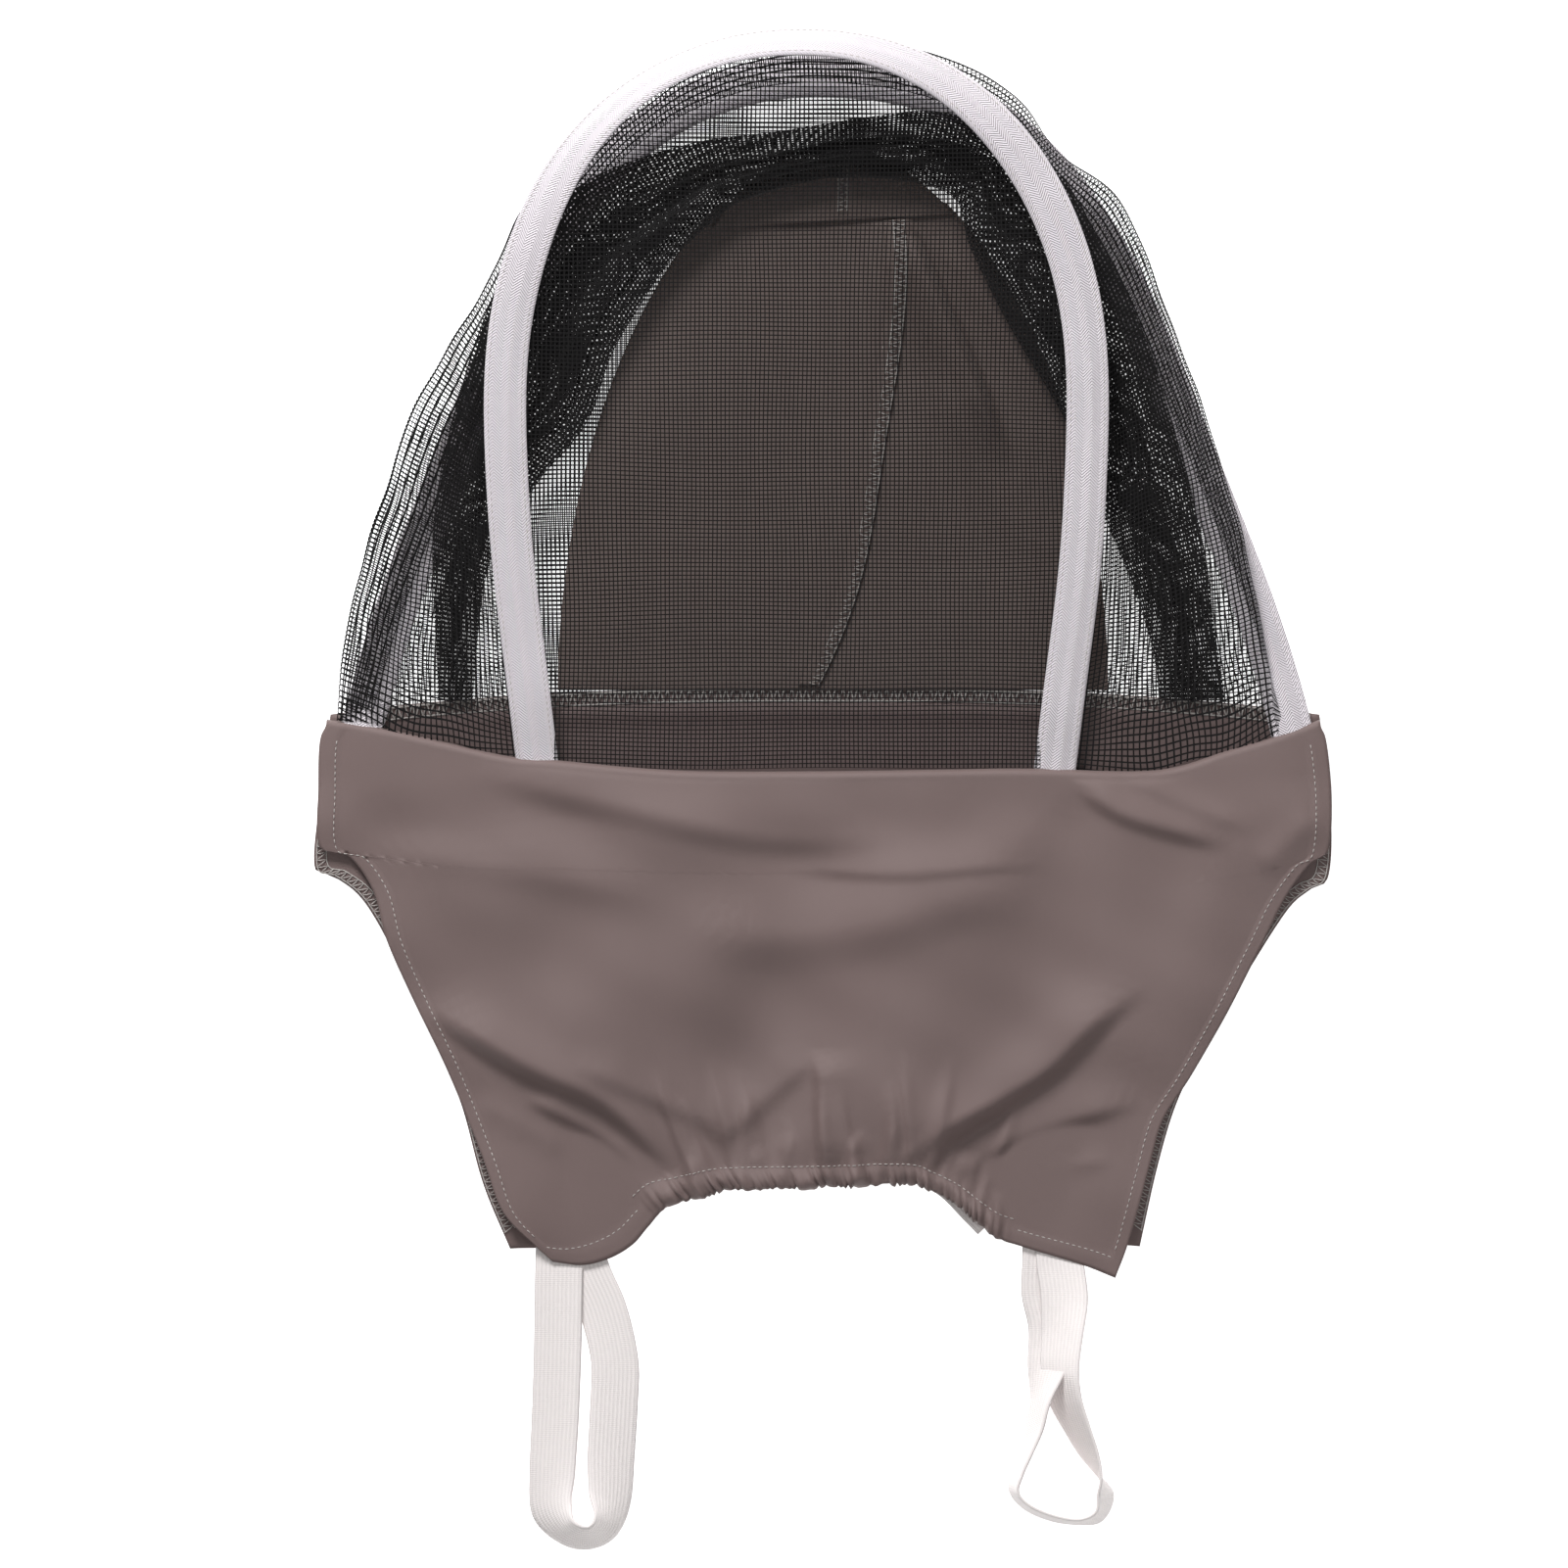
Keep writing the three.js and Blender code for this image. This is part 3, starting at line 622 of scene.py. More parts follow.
# Each finish: what makes it, the colour that it takes, and for cloth its sheen.
FINISHES = {
    "taupe_cloth": (cloth_finish, "cloth", 0.35),
    "hood_cloth": (cloth_finish, "hood_cloth", 0.2),
    "black_netting": (netting_finish, "netting"),
    "herringbone_tape": (tape_finish, "tape"),
    "ribbed_elastic": (elastic_finish, "elastic"),
    "grey_thread": (thread_finish, "thread"),
    "white_thread": (thread_finish, "tape"),
    "boning_plastic": (plastic_finish, "boning"),
}


def finish_of(kind):
    """The named finish, made the first time that a piece asks for it."""
    known = bpy.data.materials.get(kind)
    if known:
        return known
    make, key, *sheen = FINISHES[kind]
    return make(kind, tuple(getattr(bpy.context.scene.hood_colours, key)), *sheen)


# ---------------------------------------------------------------- sizes and colours


def size(name, description, default):
    return bpy.props.FloatProperty(
        name=name, description=description, default=default, min=0, unit="LENGTH", subtype="DISTANCE")


def colour(name, default):
    return bpy.props.FloatVectorProperty(
        name=name, description=name + " of the real goods", default=default, size=3, min=0, max=1,
        subtype="COLOR")


class HoodSizes(bpy.types.PropertyGroup):
    net_pitch: size("Netting pitch", "From one thread of the netting to the next", 1.9 * MM)
    net_thread: bpy.props.FloatProperty(
        name="Thread share", description="Half a thread's width, as a share of the netting's pitch",
        default=0.135, min=0.05, max=0.45)
    cloth_thickness: size("Cloth thickness", "Of the yoke and hood cloth", 0.5 * MM)
    tape_height: size("Tape height", "Over the folded tape with its boning", 3.4 * MM)
    stitch_pitch: size("Stitch pitch", "From one topstitch to the next", 2.7 * MM)
    elastic_width: size("Elastic width", "Across the flat loops", 21 * MM)


class HoodColours(bpy.types.PropertyGroup):
    cloth: colour("Yoke cloth", (0.148, 0.103, 0.098))
    hood_cloth: colour("Hood cloth", (0.138, 0.102, 0.091))
    netting: colour("Netting", (0.006, 0.0055, 0.0058))
    tape: colour("Tape", (0.77, 0.718, 0.762))
    elastic: colour("Elastic", (0.80, 0.75, 0.74))
    thread: colour("Thread", (0.45, 0.42, 0.40))
    boning: colour("Boning", (0.80, 0.80, 0.77))


def settle(piece, body, slot, *nodes):
    """Gives a piece its body and hides the CAD nodes that it stands for; slot is not used."""
    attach(piece, body)
    if nodes:
        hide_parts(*nodes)


def settle_across(piece, bodies, start, end, slot, *nodes):
    """Bakes a piece's placement into its mesh and hides the CAD nodes that it stands for; the two bodies and
    the slot are not used.
    """
    if nodes:
        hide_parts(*nodes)
    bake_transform(piece)


class HoodOperator:
    bl_options = {"REGISTER", "UNDO"}

    @property
    def sizes(self):
        return bpy.context.scene.hood_sizes


# ---------------------------------------------------------------- stage

CAMERA_HEIGHT = 2.6
SURFACE_HEIGHT = 0.006  # of most of the cloth
VIEW_WIDTH = 0.6884  # at the surface's height, across the whole picture
VIEW_CENTRE = (-0.0175, 0.0034)
SENSOR = 36.0
FLOOR_HALF, FLOOR_DROP, FLOOR_GLOW = 4000, 0.4, 0.75  # the drop keeps it clear of the cloth
SKY = 0.32
LIGHTS = (
    ("key_light", (-0.6, 1.7, 1.25), 0.8, 60.0),
    ("fill_light", (0.9, -0.8, 2.2), 1.8, 13.0),
)


class HOOD_OT_stage(HoodOperator, bpy.types.Operator):
    """Lay the pale floor and place the camera and the soft lights"""

    bl_idname = "hood.stage"
    bl_label = "Stage"

    def execute(self, context):
        scene = context.scene
        bm = bmesh.new()
        bmesh.ops.create_grid(bm, x_segments=1, y_segments=1, size=FLOOR_HALF)
        bmesh.ops.translate(bm, verts=bm.verts, vec=(0, 0, -FLOOR_DROP))
        pale = Finish("pale_floor", Roughness=0.9, Specular_IOR_Level=0.1, Emission_Strength=FLOOR_GLOW,
                      Emission_Color=(1, 1, 1, 1))
        speck = pale.noise(pale.object_place(), 3.0, 1.0)
        pale.feed("Base Color", pale.mixed(speck, (0.93, 0.93, 0.93), (0.95, 0.95, 0.95)))
        finished(bm, "floor", pale.material)
        for name, place, wide, power in LIGHTS:
            light = bpy.data.lights.new(name, "AREA")
            light.shape = "DISK"
            light.size = wide
            light.energy = power
            lamp = bpy.data.objects.new(name, light)
            lamp.location = place
            lamp.rotation_euler = (-Vector(place)).to_track_quat("-Z", "Y").to_euler()
            scene.collection.objects.link(lamp)
        world = bpy.data.worlds.new("studio")
        world.use_nodes = True
        sky = world.node_tree.nodes["Background"]
        sky.inputs["Color"].default_value = (1, 1, 1, 1)
        sky.inputs["Strength"].default_value = SKY
        scene.world = world
        scene.view_settings.view_transform = "Standard"
        lens = bpy.data.cameras.new("overhead")
        lens.sensor_width = SENSOR
        lens.lens = SENSOR * (CAMERA_HEIGHT - SURFACE_HEIGHT) / VIEW_WIDTH
        lens.clip_end = 20
        camera = bpy.data.objects.new("overhead", lens)
        camera.location = (*VIEW_CENTRE, CAMERA_HEIGHT)
        scene.collection.objects.link(camera)
        scene.camera = camera
        return {"FINISHED"}


# ---------------------------------------------------------------- arches and netting


def tape_section(width, height):
    """A folded tape's outline: soft edges, and a low swell over the boning."""
    top = []
    for i in range(13):
        across = mix(-0.5, 0.5, i / 12)
        edge = 1 - abs(2 * across) ** 6
        swell = 0.72 + 0.28 * math.exp(-((across / 0.2) ** 2))
        top.append((across * width, height / 2 * (0.25 + 0.75 * edge) * swell))
    return top + [(x, -y) for x, y in reversed(top)]


BONING = ((-2.5, -0.35), (2.5, -0.35), (2.5, 0.35), (-2.5, 0.35))
STITCH_INSET = 1.9  # of the tape's stitches, from its edge


class ArchOperator(HoodOperator):
    """What the face frame and the rear frame share."""

    def tape_height(self):
        return self.sizes.tape_height / MM

    def tape_and_boning(self, part, arch, body):
        section = tape_section(TAPE_FOLDED, self.tape_height())
        tape = along_tape(f"{part}_tape", arch, section, 0, 1, 360, finish_of("herringbone_tape"))
        settle(tape, body, "tape", f"{part}_arch_tape")
        boning = along_tape(f"{part}_boning", arch, BONING, 0.02, 0.98, 160, finish_of("boning_plastic"))
        settle(boning, body, "boning", f"{part}_arch_boning")

    def stitching(self, name, arch, sides, start, end, thread):
        """Topstitching by the tape's edges, on the sides that are given as 1 or -1."""
        share = np.linspace(start, end, 700)
        lines = [arch.at(share, side * (TAPE_FOLDED / 2 - STITCH_INSET), self.tape_height() / 2 * 0.62)
                 for side in sides]
        pitch = self.sizes.stitch_pitch / MM
        return stitches(name, lines, pitch, pitch * 0.72, 0.22, thread)

    def net(self, part, arch, inset, keep, surface):
        """Netting over an arch's opening, whose edge is inset from the middle of its tape."""
        pitch = self.sizes.net_pitch / MM
        edge = arch.at(np.linspace(0, 1, 240), -inset)[:, :2]
        left, bottom = edge.min(axis=0)
        right, top = edge.max(axis=0)
        columns, rows = int((right - left) / pitch) + 1, int((top - bottom) / pitch) + 1

        def kept(x, y):
            return inside(edge, x + left, y + bottom) & keep(x + left, y + bottom)

        return netting(f"{part}_net", lambda x, y: surface(x + left, y + bottom), columns, rows,
                       self.sizes.net_thread, pitch, kept)


class HOOD_OT_face_frame(ArchOperator, bpy.types.Operator):
    """Make the front arch's tape, boning and stitching, and the netting of the face window"""

    bl_idname = "hood.face_frame"
    bl_label = "Face frame"

    def execute(self, context):
        self.tape_and_boning("front", FACE, "face_frame")
        for name, side in (("outer", 1), ("inner", -1)):
            seam = self.stitching(f"front_tape_{name}_stitches", FACE, [side], 0.01, 0.99, "grey_thread")
            settle(seam, "face_frame", "thread", f"front_tape_{name}_stitching")
        net = self.net("face", FACE, 6.5, lambda x, y: y > 10, self.window)
        settle(net, "face_frame", "netting", "face_netting")
        return {"FINISHED"}

    def window(self, x, y):
        """The face window, which is lifted at the crown and sags in the middle."""
        middle = np.clip(1 - ((x - FACE_X) / 118) ** 2, 0, 1)
        lift = 5.5 * smooth(y, 255, 318)
        sag = 4.5 * middle * smooth(y, 12, 90) * (1 - 0.7 * smooth(y, 230, 320))
        z = face_height(y) - 0.6 + lift - sag + 0.25 * ripple(x, y, 90, 11)
        return np.stack([x + 0.9 * ripple(x, y, 110, 12), y + 0.9 * ripple(x, y, 110, 13), z], axis=1)


class HOOD_OT_rear_frame(ArchOperator, bpy.types.Operator):
    """Make the rear arch's tape, boning and stitching, and the netting behind the head"""

    bl_idname = "hood.rear_frame"
    bl_label = "Rear frame"

    def execute(self, context):
        self.tape_and_boning("rear", REAR, "rear_hood")
        seam = self.stitching("rear_tape_stitches", REAR, [1, -1], 0.0, 1.0, "white_thread")
        settle(seam, "rear_hood", "thread")
        net = self.net("rear", REAR, 7.0, self.shows, self.spread)
        settle(net, "rear_hood", "netting", "rear_netting")
        return {"FINISHED"}

    def shows(self, x, y):
        """True above the neck seam, and beside the cloth that the netting is sewn to."""
        covered = (np.abs(x - PANEL_X) < panel_half(y) - 16) & (y < BAND_HIGH.y - 12)
        return ~covered & (y > neck_line(x) + 0.5)

    def spread(self, x, y):
        z = 0.7 + 0.4 * ripple(x, y, 60, 21)
        return np.stack([x + ripple(x, y, 90, 22), y + ripple(x, y, 90, 23), z], axis=1)


class HOOD_OT_gusset(HoodOperator, bpy.types.Operator):
    """Make the netting between the two arches, with its deep pleat"""

    bl_idname = "hood.gusset"
    bl_label = "Gusset netting"

    def execute(self, context):
        pitch = self.sizes.net_pitch / MM
        thread = self.sizes.net_thread

        def outer(u, v):
            front, rear = FACE.at(u, 7.5, -1.2), REAR.at(u, -3.0, 2.6)
            over = np.clip(v / NET_BEND, 0, 1)[:, None]
            under = np.clip((v - NET_BEND) / (1 - NET_BEND), 0, 1)[:, None]
            place = mix(mix(front[:, :2], at_share(NET_OUTER, u), over), rear[:, :2], under)
            free = np.sin(math.pi * np.clip(v, 0, 1))
            foot = 1 - smooth(0.5 - np.abs(u - 0.5), 0, 0.035)
            place[:, 1] -= NET_FOOT_DROP * free * foot
            yoke_edge = np.interp(place[:, 0], FRONT_FOLD[:, 0], FRONT_FOLD[:, 1])
            place[:, 1] = np.maximum(place[:, 1], yoke_edge + 0.3)
            x, y = place[:, 0], place[:, 1]
            x, y = x + 1.4 * free * ripple(x, y, 40, 32), y + 1.4 * free * ripple(x, y, 40, 33)
            # Its rows share out the height over which the net turns from one arch to the other.
            high, low = (edge[:, 2] - NET_TILT * (edge[:, 1] - FACE_FOOT_Y) for edge in (front, rear))
            top, low = np.minimum(high, NET_TURN_HIGH), np.minimum(low, NET_TURN_LOW)
            ends, middle = NET_ENDS, 1 - 2 * NET_ENDS
            level = np.where(v < ends, mix(high, top, v / ends), mix(top, NET_TURN_LOW, (v - ends) / middle))
            level = np.where(v > 1 - ends, mix(NET_TURN_LOW, low, (v - 1 + ends) / ends), level)
            return np.column_stack([x, y, level + NET_TILT * (y - FACE_FOOT_Y)])

        skin = netting("gusset_outer_net", outer, int(GUSSET_LENGTH / pitch), 40, thread)
        start = Vector((0, FACE_FOOT_Y, NET_TURN_LOW))
        across = Vector((0, -NET_TILT, 1)) * (NET_TURN_HIGH - NET_TURN_LOW) / (1 + NET_TILT**2)
        settle_across(skin, ("rear_hood", "face_frame"), start, start + across, "netting", "gusset_netting")
        self.pleat("upper", (0.46, 0.5), (0.0, 0.8), 41, pitch, thread)
        self.pleat("lower", (0.2, 0.4), (0.32, 1.0), 51, pitch, thread)
        return {"FINISHED"}

    def pleat(self, name, heights, reach, seed, pitch, thread):
        """One layer of the pleat. heights are shares of the room under the face window, and reach
        is where it starts and ends on the way from the outer line to the inner one."""
        def surface(u, v):
            bent = np.clip(v + 0.05 * np.sin(math.pi * v) * ripple(u * 700, v * 60, 60, seed), 0, 1)
            outer = at_share(PLEAT_OUTER, u)
            inner = at_share(PLEAT_INNER, u)
            foot = 1 - smooth(u, 0.02, 0.16) + 0.35 * smooth(u, 0.84, 0.98)
            bent = mix(reach[0], reach[1], bent)
            place = mix(outer, inner, mix(bent, 0.2 + 0.55 * bent, foot)[:, None])
            x, y = place[:, 0], place[:, 1]
            room = face_height(y) - 6.0
            share = mix(heights[0], heights[1], v)
            pleats = np.sin(math.tau * (2.5 * v + 0.35 * ripple(u * 700, v * 40, 160, seed + 1)))
            z = 2.8 + room * share + 0.06 * room * pleats * np.sin(math.pi * v)
            return np.column_stack([x + 0.8 * ripple(x, y, 50, seed + 2), y, z])

        columns, rows = int(PLEAT_LENGTH / pitch), int(PLEAT_DEPTH / pitch)
        net = netting(f"gusset_pleat_{name}_net", surface, columns, rows, thread * 2.25)
        settle(net, "rear_hood", "netting")


def sheet_area(piece):
    """A sheet's own area, which is its cut's, in square metres."""
    return sum(face.area for face in piece.data.polygons)


# ---------------------------------------------------------------- back of the hood

PANEL_X = (BAND_LOW.x + BAND_HIGH.x) / 2
PANEL_BOTTOM = PANEL_LOW.y
PANEL_TOP = BAND_HIGH.y + 3.6
PANEL_HALF = PANEL_X - PANEL_LOW.x + 1.2
PANEL_ROUND = 1.9  # 2 would be an ellipse


def panel_half(y):
    """Half of the cloth back's width at y, which rounds in to its top."""
    high = np.clip((y - PANEL_BOTTOM) / (PANEL_TOP - PANEL_BOTTOM), 0, 1)
    return PANEL_HALF * (1 - high**PANEL_ROUND) ** (1 / PANEL_ROUND)


def seam_x(y):
    """The curved centre-back seam's x at y."""
    share = np.clip((y - PANEL_BOTTOM) / (BAND_LOW.y - PANEL_BOTTOM), 0, 1)
    return 35 - 38 * (1 - share) ** 2.4 + 1.6 * np.sin(share * 9)


def neck_line(x):
    """The neck seam's y at x."""
    return 44 - 10 * np.clip(np.abs(x) / 218, 0, 1) ** 2.5


def panel_height(x, y):
    z = 2.3 + 0.45 * ripple(x, y, 75, 61)
    z += fold(x, y, [(30, 258), (56, 200), (81, 142)], 10.0, 8.0, 0.6)
    z += fold(x, y, [(46, 250), (78, 205), (100, 165)], 2.5, 6.0)
    z += fold(x, y, [(44, 190), (70, 140), (100, 96)], 2.2, 7.0, 0.3)
    z += fold(x, y, [(-96, 60), (-82, 140), (-60, 210)], 0.7, 12.0)
    return z


class HOOD_OT_hood_back(HoodOperator, bpy.types.Operator):
    """Make the two cloth halves behind the head, the crown band and their overlocked seams"""

    bl_idname = "hood.hood_back"
    bl_label = "Hood back"

    def execute(self, context):
        thick = self.sizes.cloth_thickness / MM
        for name, side, width in (("left", -1, 0.122), ("right", 1, 0.121)):
            def half(u, v, side=side):
                y = mix(PANEL_BOTTOM, BAND_LOW.y + 9, v)
                edge = PANEL_X + side * panel_half(y)
                x = mix(edge, seam_x(y), u) if side < 0 else mix(seam_x(y), edge, u)
                return np.stack([x, y, panel_height(x, y)], axis=1)

            panel = cloth(f"hood_{name}_half", half, 90, 130, (120, 205), thick, finish_of("hood_cloth"))
            settle(panel, "rear_hood", "cloth", f"{name}_hood_panel")
        self.band(thick)
        self.seams()
        return {"FINISHED"}

    def band(self, thick):
        def surface(u, v):
            x = PANEL_X + (u - 0.5) * 2 * (panel_half(mix(BAND_LOW.y + 4, PANEL_TOP - 6, v)) - 1)
            lower = BAND_LOW.y + 0.5 + 3.5 * ((x - PANEL_X) / 60)
            y = mix(lower, PANEL_TOP - 5, v)
            z = 3.9 + 0.9 * np.sin(math.pi * np.clip(v * 1.2, 0, 1)) + 0.3 * ripple(x, y, 30, 71)
            return np.stack([x, y, z], axis=1)

        band = cloth("hood_crown_band_cloth", surface, 70, 24, (110, 28), thick, finish_of("hood_cloth"))
        settle(band, "rear_hood", "cloth", "hood_crown_band")

    def seams(self):
        y = np.linspace(PANEL_BOTTOM + 2, BAND_LOW.y + 1, 300)
        x = seam_x(y)
        line = np.stack([x, y, panel_height(x, y) + 1.35], axis=1)
        sideways = np.tile([-1.0, 0.0, 0.0], (300, 1))
        looped = overlock(line, sideways, 5.2, 3.0, 0.25)
        settle(threads("centre_back_overlock_threads", looped, 0.24), "rear_hood", "thread",
               "centre_back_overlock")
        beside = (line + np.array([-8.0, 0, -0.25]))[20:220]
        settle(stitches("centre_back_stitches", [beside], 2.6, 1.8, 0.2), "rear_hood", "thread")
        flap = self.seam_flap(y)
        settle(flap, "rear_hood", "cloth")
        top = np.linspace(BAND_LOW.y + 5, PANEL_TOP - 8, 60)
        short = np.stack([np.full(60, PANEL_X + 2), top, np.full(60, 5.3)], axis=1)
        looped = overlock(short, np.tile([1.0, 0, 0], (60, 1)), 4.2, 3.0, 0.2)
        settle(threads("crown_overlock_threads", looped, 0.24), "rear_hood", "thread", "crown_overlock")

    def seam_flap(self, y):
        def surface(u, v):
            at = mix(y[0], y[-1], v)
            across = seam_x(at) - 9.5 * (1 - u)
            lift = 1.4 + 0.3 * np.sin(math.pi * u) + 0.15 * ripple(across, at, 14, 77)
            return np.stack([across, at, panel_height(across, at) + lift], axis=1)

        return cloth("centre_back_seam_allowance", surface, 10, 150, (9.5, 210), 0.4, finish_of("hood_cloth"))


# ---------------------------------------------------------------- yoke


def border(points):
    """A side border from its lower end, with its points evenly spaced along y."""
    line = through(points)
    y = np.linspace(line[0, 1], line[-1, 1], len(line))
    return np.column_stack([np.interp(y, np.maximum.accumulate(line[:, 1]), line[:, 0]), y])


# The bodies that the cloth bends between at the neck, and where the bend starts and ends.
NECK_TURN = (("yoke", "rear_hood"), (0, 8, 0), (0, 34, 0))
# The yokes' borders, in millimetres, each from its left or lower end.
FRONT_LEFT = border([
    (-119, -206.5), (-127, -199), (-141, -184), (-150, -160), (-166, -121), (-181.5, -89),
    (-192, -65), (-198, -43.5), (-209, -28), (-221.5, -24), (-222, 1.5), (-221.5, 21), (-218.5, 31.5)])
FRONT_RIGHT = border([
    (128, -213.5), (134, -197), (143, -164), (149, -144), (161, -125), (176, -99), (192, -68),
    (203, -46), (214, -31), (221.5, -26), (223, -3), (221, 20), (218, 31.5)])
FRONT_FOLD = through([
    (-218.5, 31.5), (-195, 28), (-168, 22), (-139, 15.5), (-116, 13.5), (-82, 10.3), (-52, 8.8),
    (0, 8.8), (52, 9.5), (87, 10), (134, 8.8), (155, 10.8), (177, 17.8), (200, 24.7), (218, 31.5)])
FRONT_HEM = through([
    (-119, -206.5), (-106, -208), (-94, -205), (-84, -199), (-77, -191), (-69, -182.5), (-57, -179),
    (-38, -174.5), (0, -173.5), (38, -172.5), (49, -176.5), (59, -182), (67, -189), (76, -196),
    (86, -199.5), (94, -202), (114, -208), (128, -213.5)], 800)
BACK_LEFT = border([
    (-138, -201), (-150, -172), (-160, -136), (-174, -104), (-186, -78), (-196, -58), (-205, -45),
    (-216, -37), (-224, -33), (-222, -5), (-217, 34)])
BACK_RIGHT = border([
    (139, -200), (147, -164), (156, -135), (170, -108), (186, -80), (204, -52), (214, -43),
    (222, -37), (223, -8), (218, 34)])
BACK_NECK = through([
    (-217, 34), (-180, 38.7), (-120, 43.2), (-60, 45.4), (0, 45.8), (60, 45.4), (120, 43.2),
    (180, 38.7), (218, 34)])
BACK_HEM = through([
    (-138, -201), (-112, -199), (-84, -186), (-58, -170), (0, -165), (58, -170), (84, -184),
    (112, -197), (139, -200)])

# The folds that show on the front yoke, each from its left end: its line, height, width, lean, drop.
FRONT_FOLDS = (
    ([(-157, 12), (-118, 1), (-82, -7), (-40, -17), (-3, -20), (39, -18)], 2.3, 11, -0.4, 1.1),
    ([(-202, -23), (-157, -30), (-106, -39), (-64, -48)], 2.0, 11, -0.2, 0),
    ([(-21, -32), (30, -35), (72, -32), (102, -30)], 1.3, 6, -0.5, 0.3),
    ([(108, 8), (129, -8), (157, -17), (181, -23)], 3.0, 7, -0.45, 1.0),
    ([(129, 8), (169, -9), (193, -18)], 1.4, 5, -0.2, 0),
    ([(190, -36), (204, -22), (219, -8)], 1.8, 7, 0, 0),
    ([(-64, -57), (-24, -62), (15, -59), (57, -47), (99, -41)], 3.4, 18, -0.3, 0.8),
    ([(-177, -91), (-133, -118), (-97, -135), (-70, -159), (-58, -171)], 5.2, 9, -0.5, 3.6),
    ([(-112, -116), (-76, -132), (-49, -145), (-34, -164)], 2.4, 9, -0.4, 0.4),
    ([(-133, -132), (-100, -149), (-76, -168)], 3.0, 6, -0.4, 0.6),
    ([(-156, -134), (-133, -146), (-106, -161)], 1.3, 7, 0, 0),
    ([(-1.8, -112), (0, -134), (1, -170)], 4.0, 7, -0.6, 0),
    ([(-52, -156), (-27, -134), (-2, -113)], 2.2, 9, -0.4, 0.5),
    ([(30, -166), (51, -148), (93, -124), (117, -101), (143, -81)], 4.8, 9, -0.5, 2.6),
    ([(54, -171), (72, -158), (99, -146), (142, -134)], 2.8, 7, -0.4, 1.0),
    ([(40, -168), (63, -146), (87, -134)], 2.2, 5, -0.3, 0),
    ([(81, -171), (105, -164), (130, -161)], 1.5, 6, -0.2, 0),
)
GATHER_START, GATHER_END = 0.21, 0.80  # of the hem, where the elastic draws it in
GATHER_EASE = 0.02  # of the hem, over which the gathers start and end
GATHER_RIDGES = 30
ROLL_START, ROLL_END = 0.93, 0.965  # of the front yoke's height, where its cloth rolls over at the neck
HEM_TURN = 0.55  # the height that a turned hem adds
YOKE_FLOOR = 2.8  # the front yoke's lowest height, which its hollows come down to gently
THREAD_LIFT = 0.45  # of the topstitching, from the middle of the cloth


def gathers():
    """Short ridges that fan up from the drawn-in hem."""
    draw = random.Random(8)
    made = []
    for i in range(GATHER_RIDGES):
        share = mix(GATHER_START, GATHER_END, (i + draw.uniform(0.1, 0.9)) / GATHER_RIDGES)
        foot = at_share(FRONT_HEM, np.array([share]))[0]
        lean = (share - 0.5) * -1.1 + draw.uniform(-0.3, 0.3)
        long = draw.choice((15, 20, 26, 34, 48, 62))
        top = foot + np.array([math.sin(-lean), math.cos(lean)]) * long
        bent = (foot + top) / 2 + np.array([draw.uniform(-2, 2), 0])
        below = foot - (top - foot) * 0.35
        made.append(([tuple(below), tuple(bent), tuple(top)], draw.uniform(1.0, 2.4),
                     draw.uniform(2.6, 4.8), draw.uniform(-0.4, 0.4)))
    return made


def coons(u, v, left, right, low, high):
    """Points of a patch between four borders."""
    a, b = at_share(low, u), at_share(high, u)
    c, d = at_share(left, v), at_share(right, v)
    u, v = u[:, None], v[:, None]
    corners = mix(mix(low[0], low[-1], u), mix(high[0], high[-1], u), v)
    return mix(a, b, v) + mix(c, d, u) - corners


def yoke_height(x, y):
    z = 4.0 + 8.0 * (1 - np.clip(np.abs(x) / 222, 0, 1) ** 2.6) * smooth(y, -230, 0)
    for crease in (*FRONT_FOLDS, *gathers()):
        z += fold(x, y, *crease)
    z += (3.4 * ripple(x, y, 95, 81) + 0.7 * ripple(x, y, 38, 82)) * (1 - 0.8 * smooth(y, -20, 8))
    return YOKE_FLOOR + np.logaddexp(0, (z - YOKE_FLOOR) * 2) / 2


def front_yoke(u, v):
    """The front yoke: its hem casing, its folds, and the soft roll along its neck edge."""
    flat = np.clip(v / ROLL_START, 0, 1)
    place = coons(u, flat, FRONT_LEFT, FRONT_RIGHT, FRONT_HEM, FRONT_FOLD)
    x, y = place[:, 0], place[:, 1]
    z = yoke_height(x, y)
    drawn = smooth(u, GATHER_START - GATHER_EASE, GATHER_START + GATHER_EASE)
    drawn = drawn * (1 - smooth(u, GATHER_END - GATHER_EASE, GATHER_END + GATHER_EASE))
    near = 1 - smooth(flat, 0.0, 0.075)
    phase = u * 64 + 0.6 * np.sin(u * 61) + 0.35 * np.sin(u * 143 + 1)
    bulge = np.abs(np.sin(math.pi * phase)) ** 0.75 * (1 + 0.4 * ripple(x, y, 18, 83)) - 0.6
    casing = np.sin(math.pi * np.clip(flat / 0.048, 0, 1))
    z += drawn * (near * (1.4 + casing) * 2.0 * bulge + 1.6 * casing)
    place[:, 1] -= drawn * (1 - smooth(flat, 0, 0.06)) * 1.6 * bulge
    turned = (1 - drawn) * (1 - smooth(flat, 0.026, 0.031)) * HEM_TURN
    sides = np.minimum(u, 1 - u)
    z += np.maximum(turned, HEM_TURN * (1 - smooth(sides, 0.016, 0.019)))
    roll = smooth(v, ROLL_START, ROLL_END) * math.pi
    tuck = np.clip((v - ROLL_END) / 0.035, 0, 1)
    radius = np.clip((z - 1.4) / 2, 0.5, 2.6)
    place[:, 1] += radius * (np.sin(roll) - 1) * smooth(v, 0.9, ROLL_START) - 9 * tuck
    z = z - radius * (1 - np.cos(roll))
    return np.column_stack([place, np.maximum(z, 1.3)])


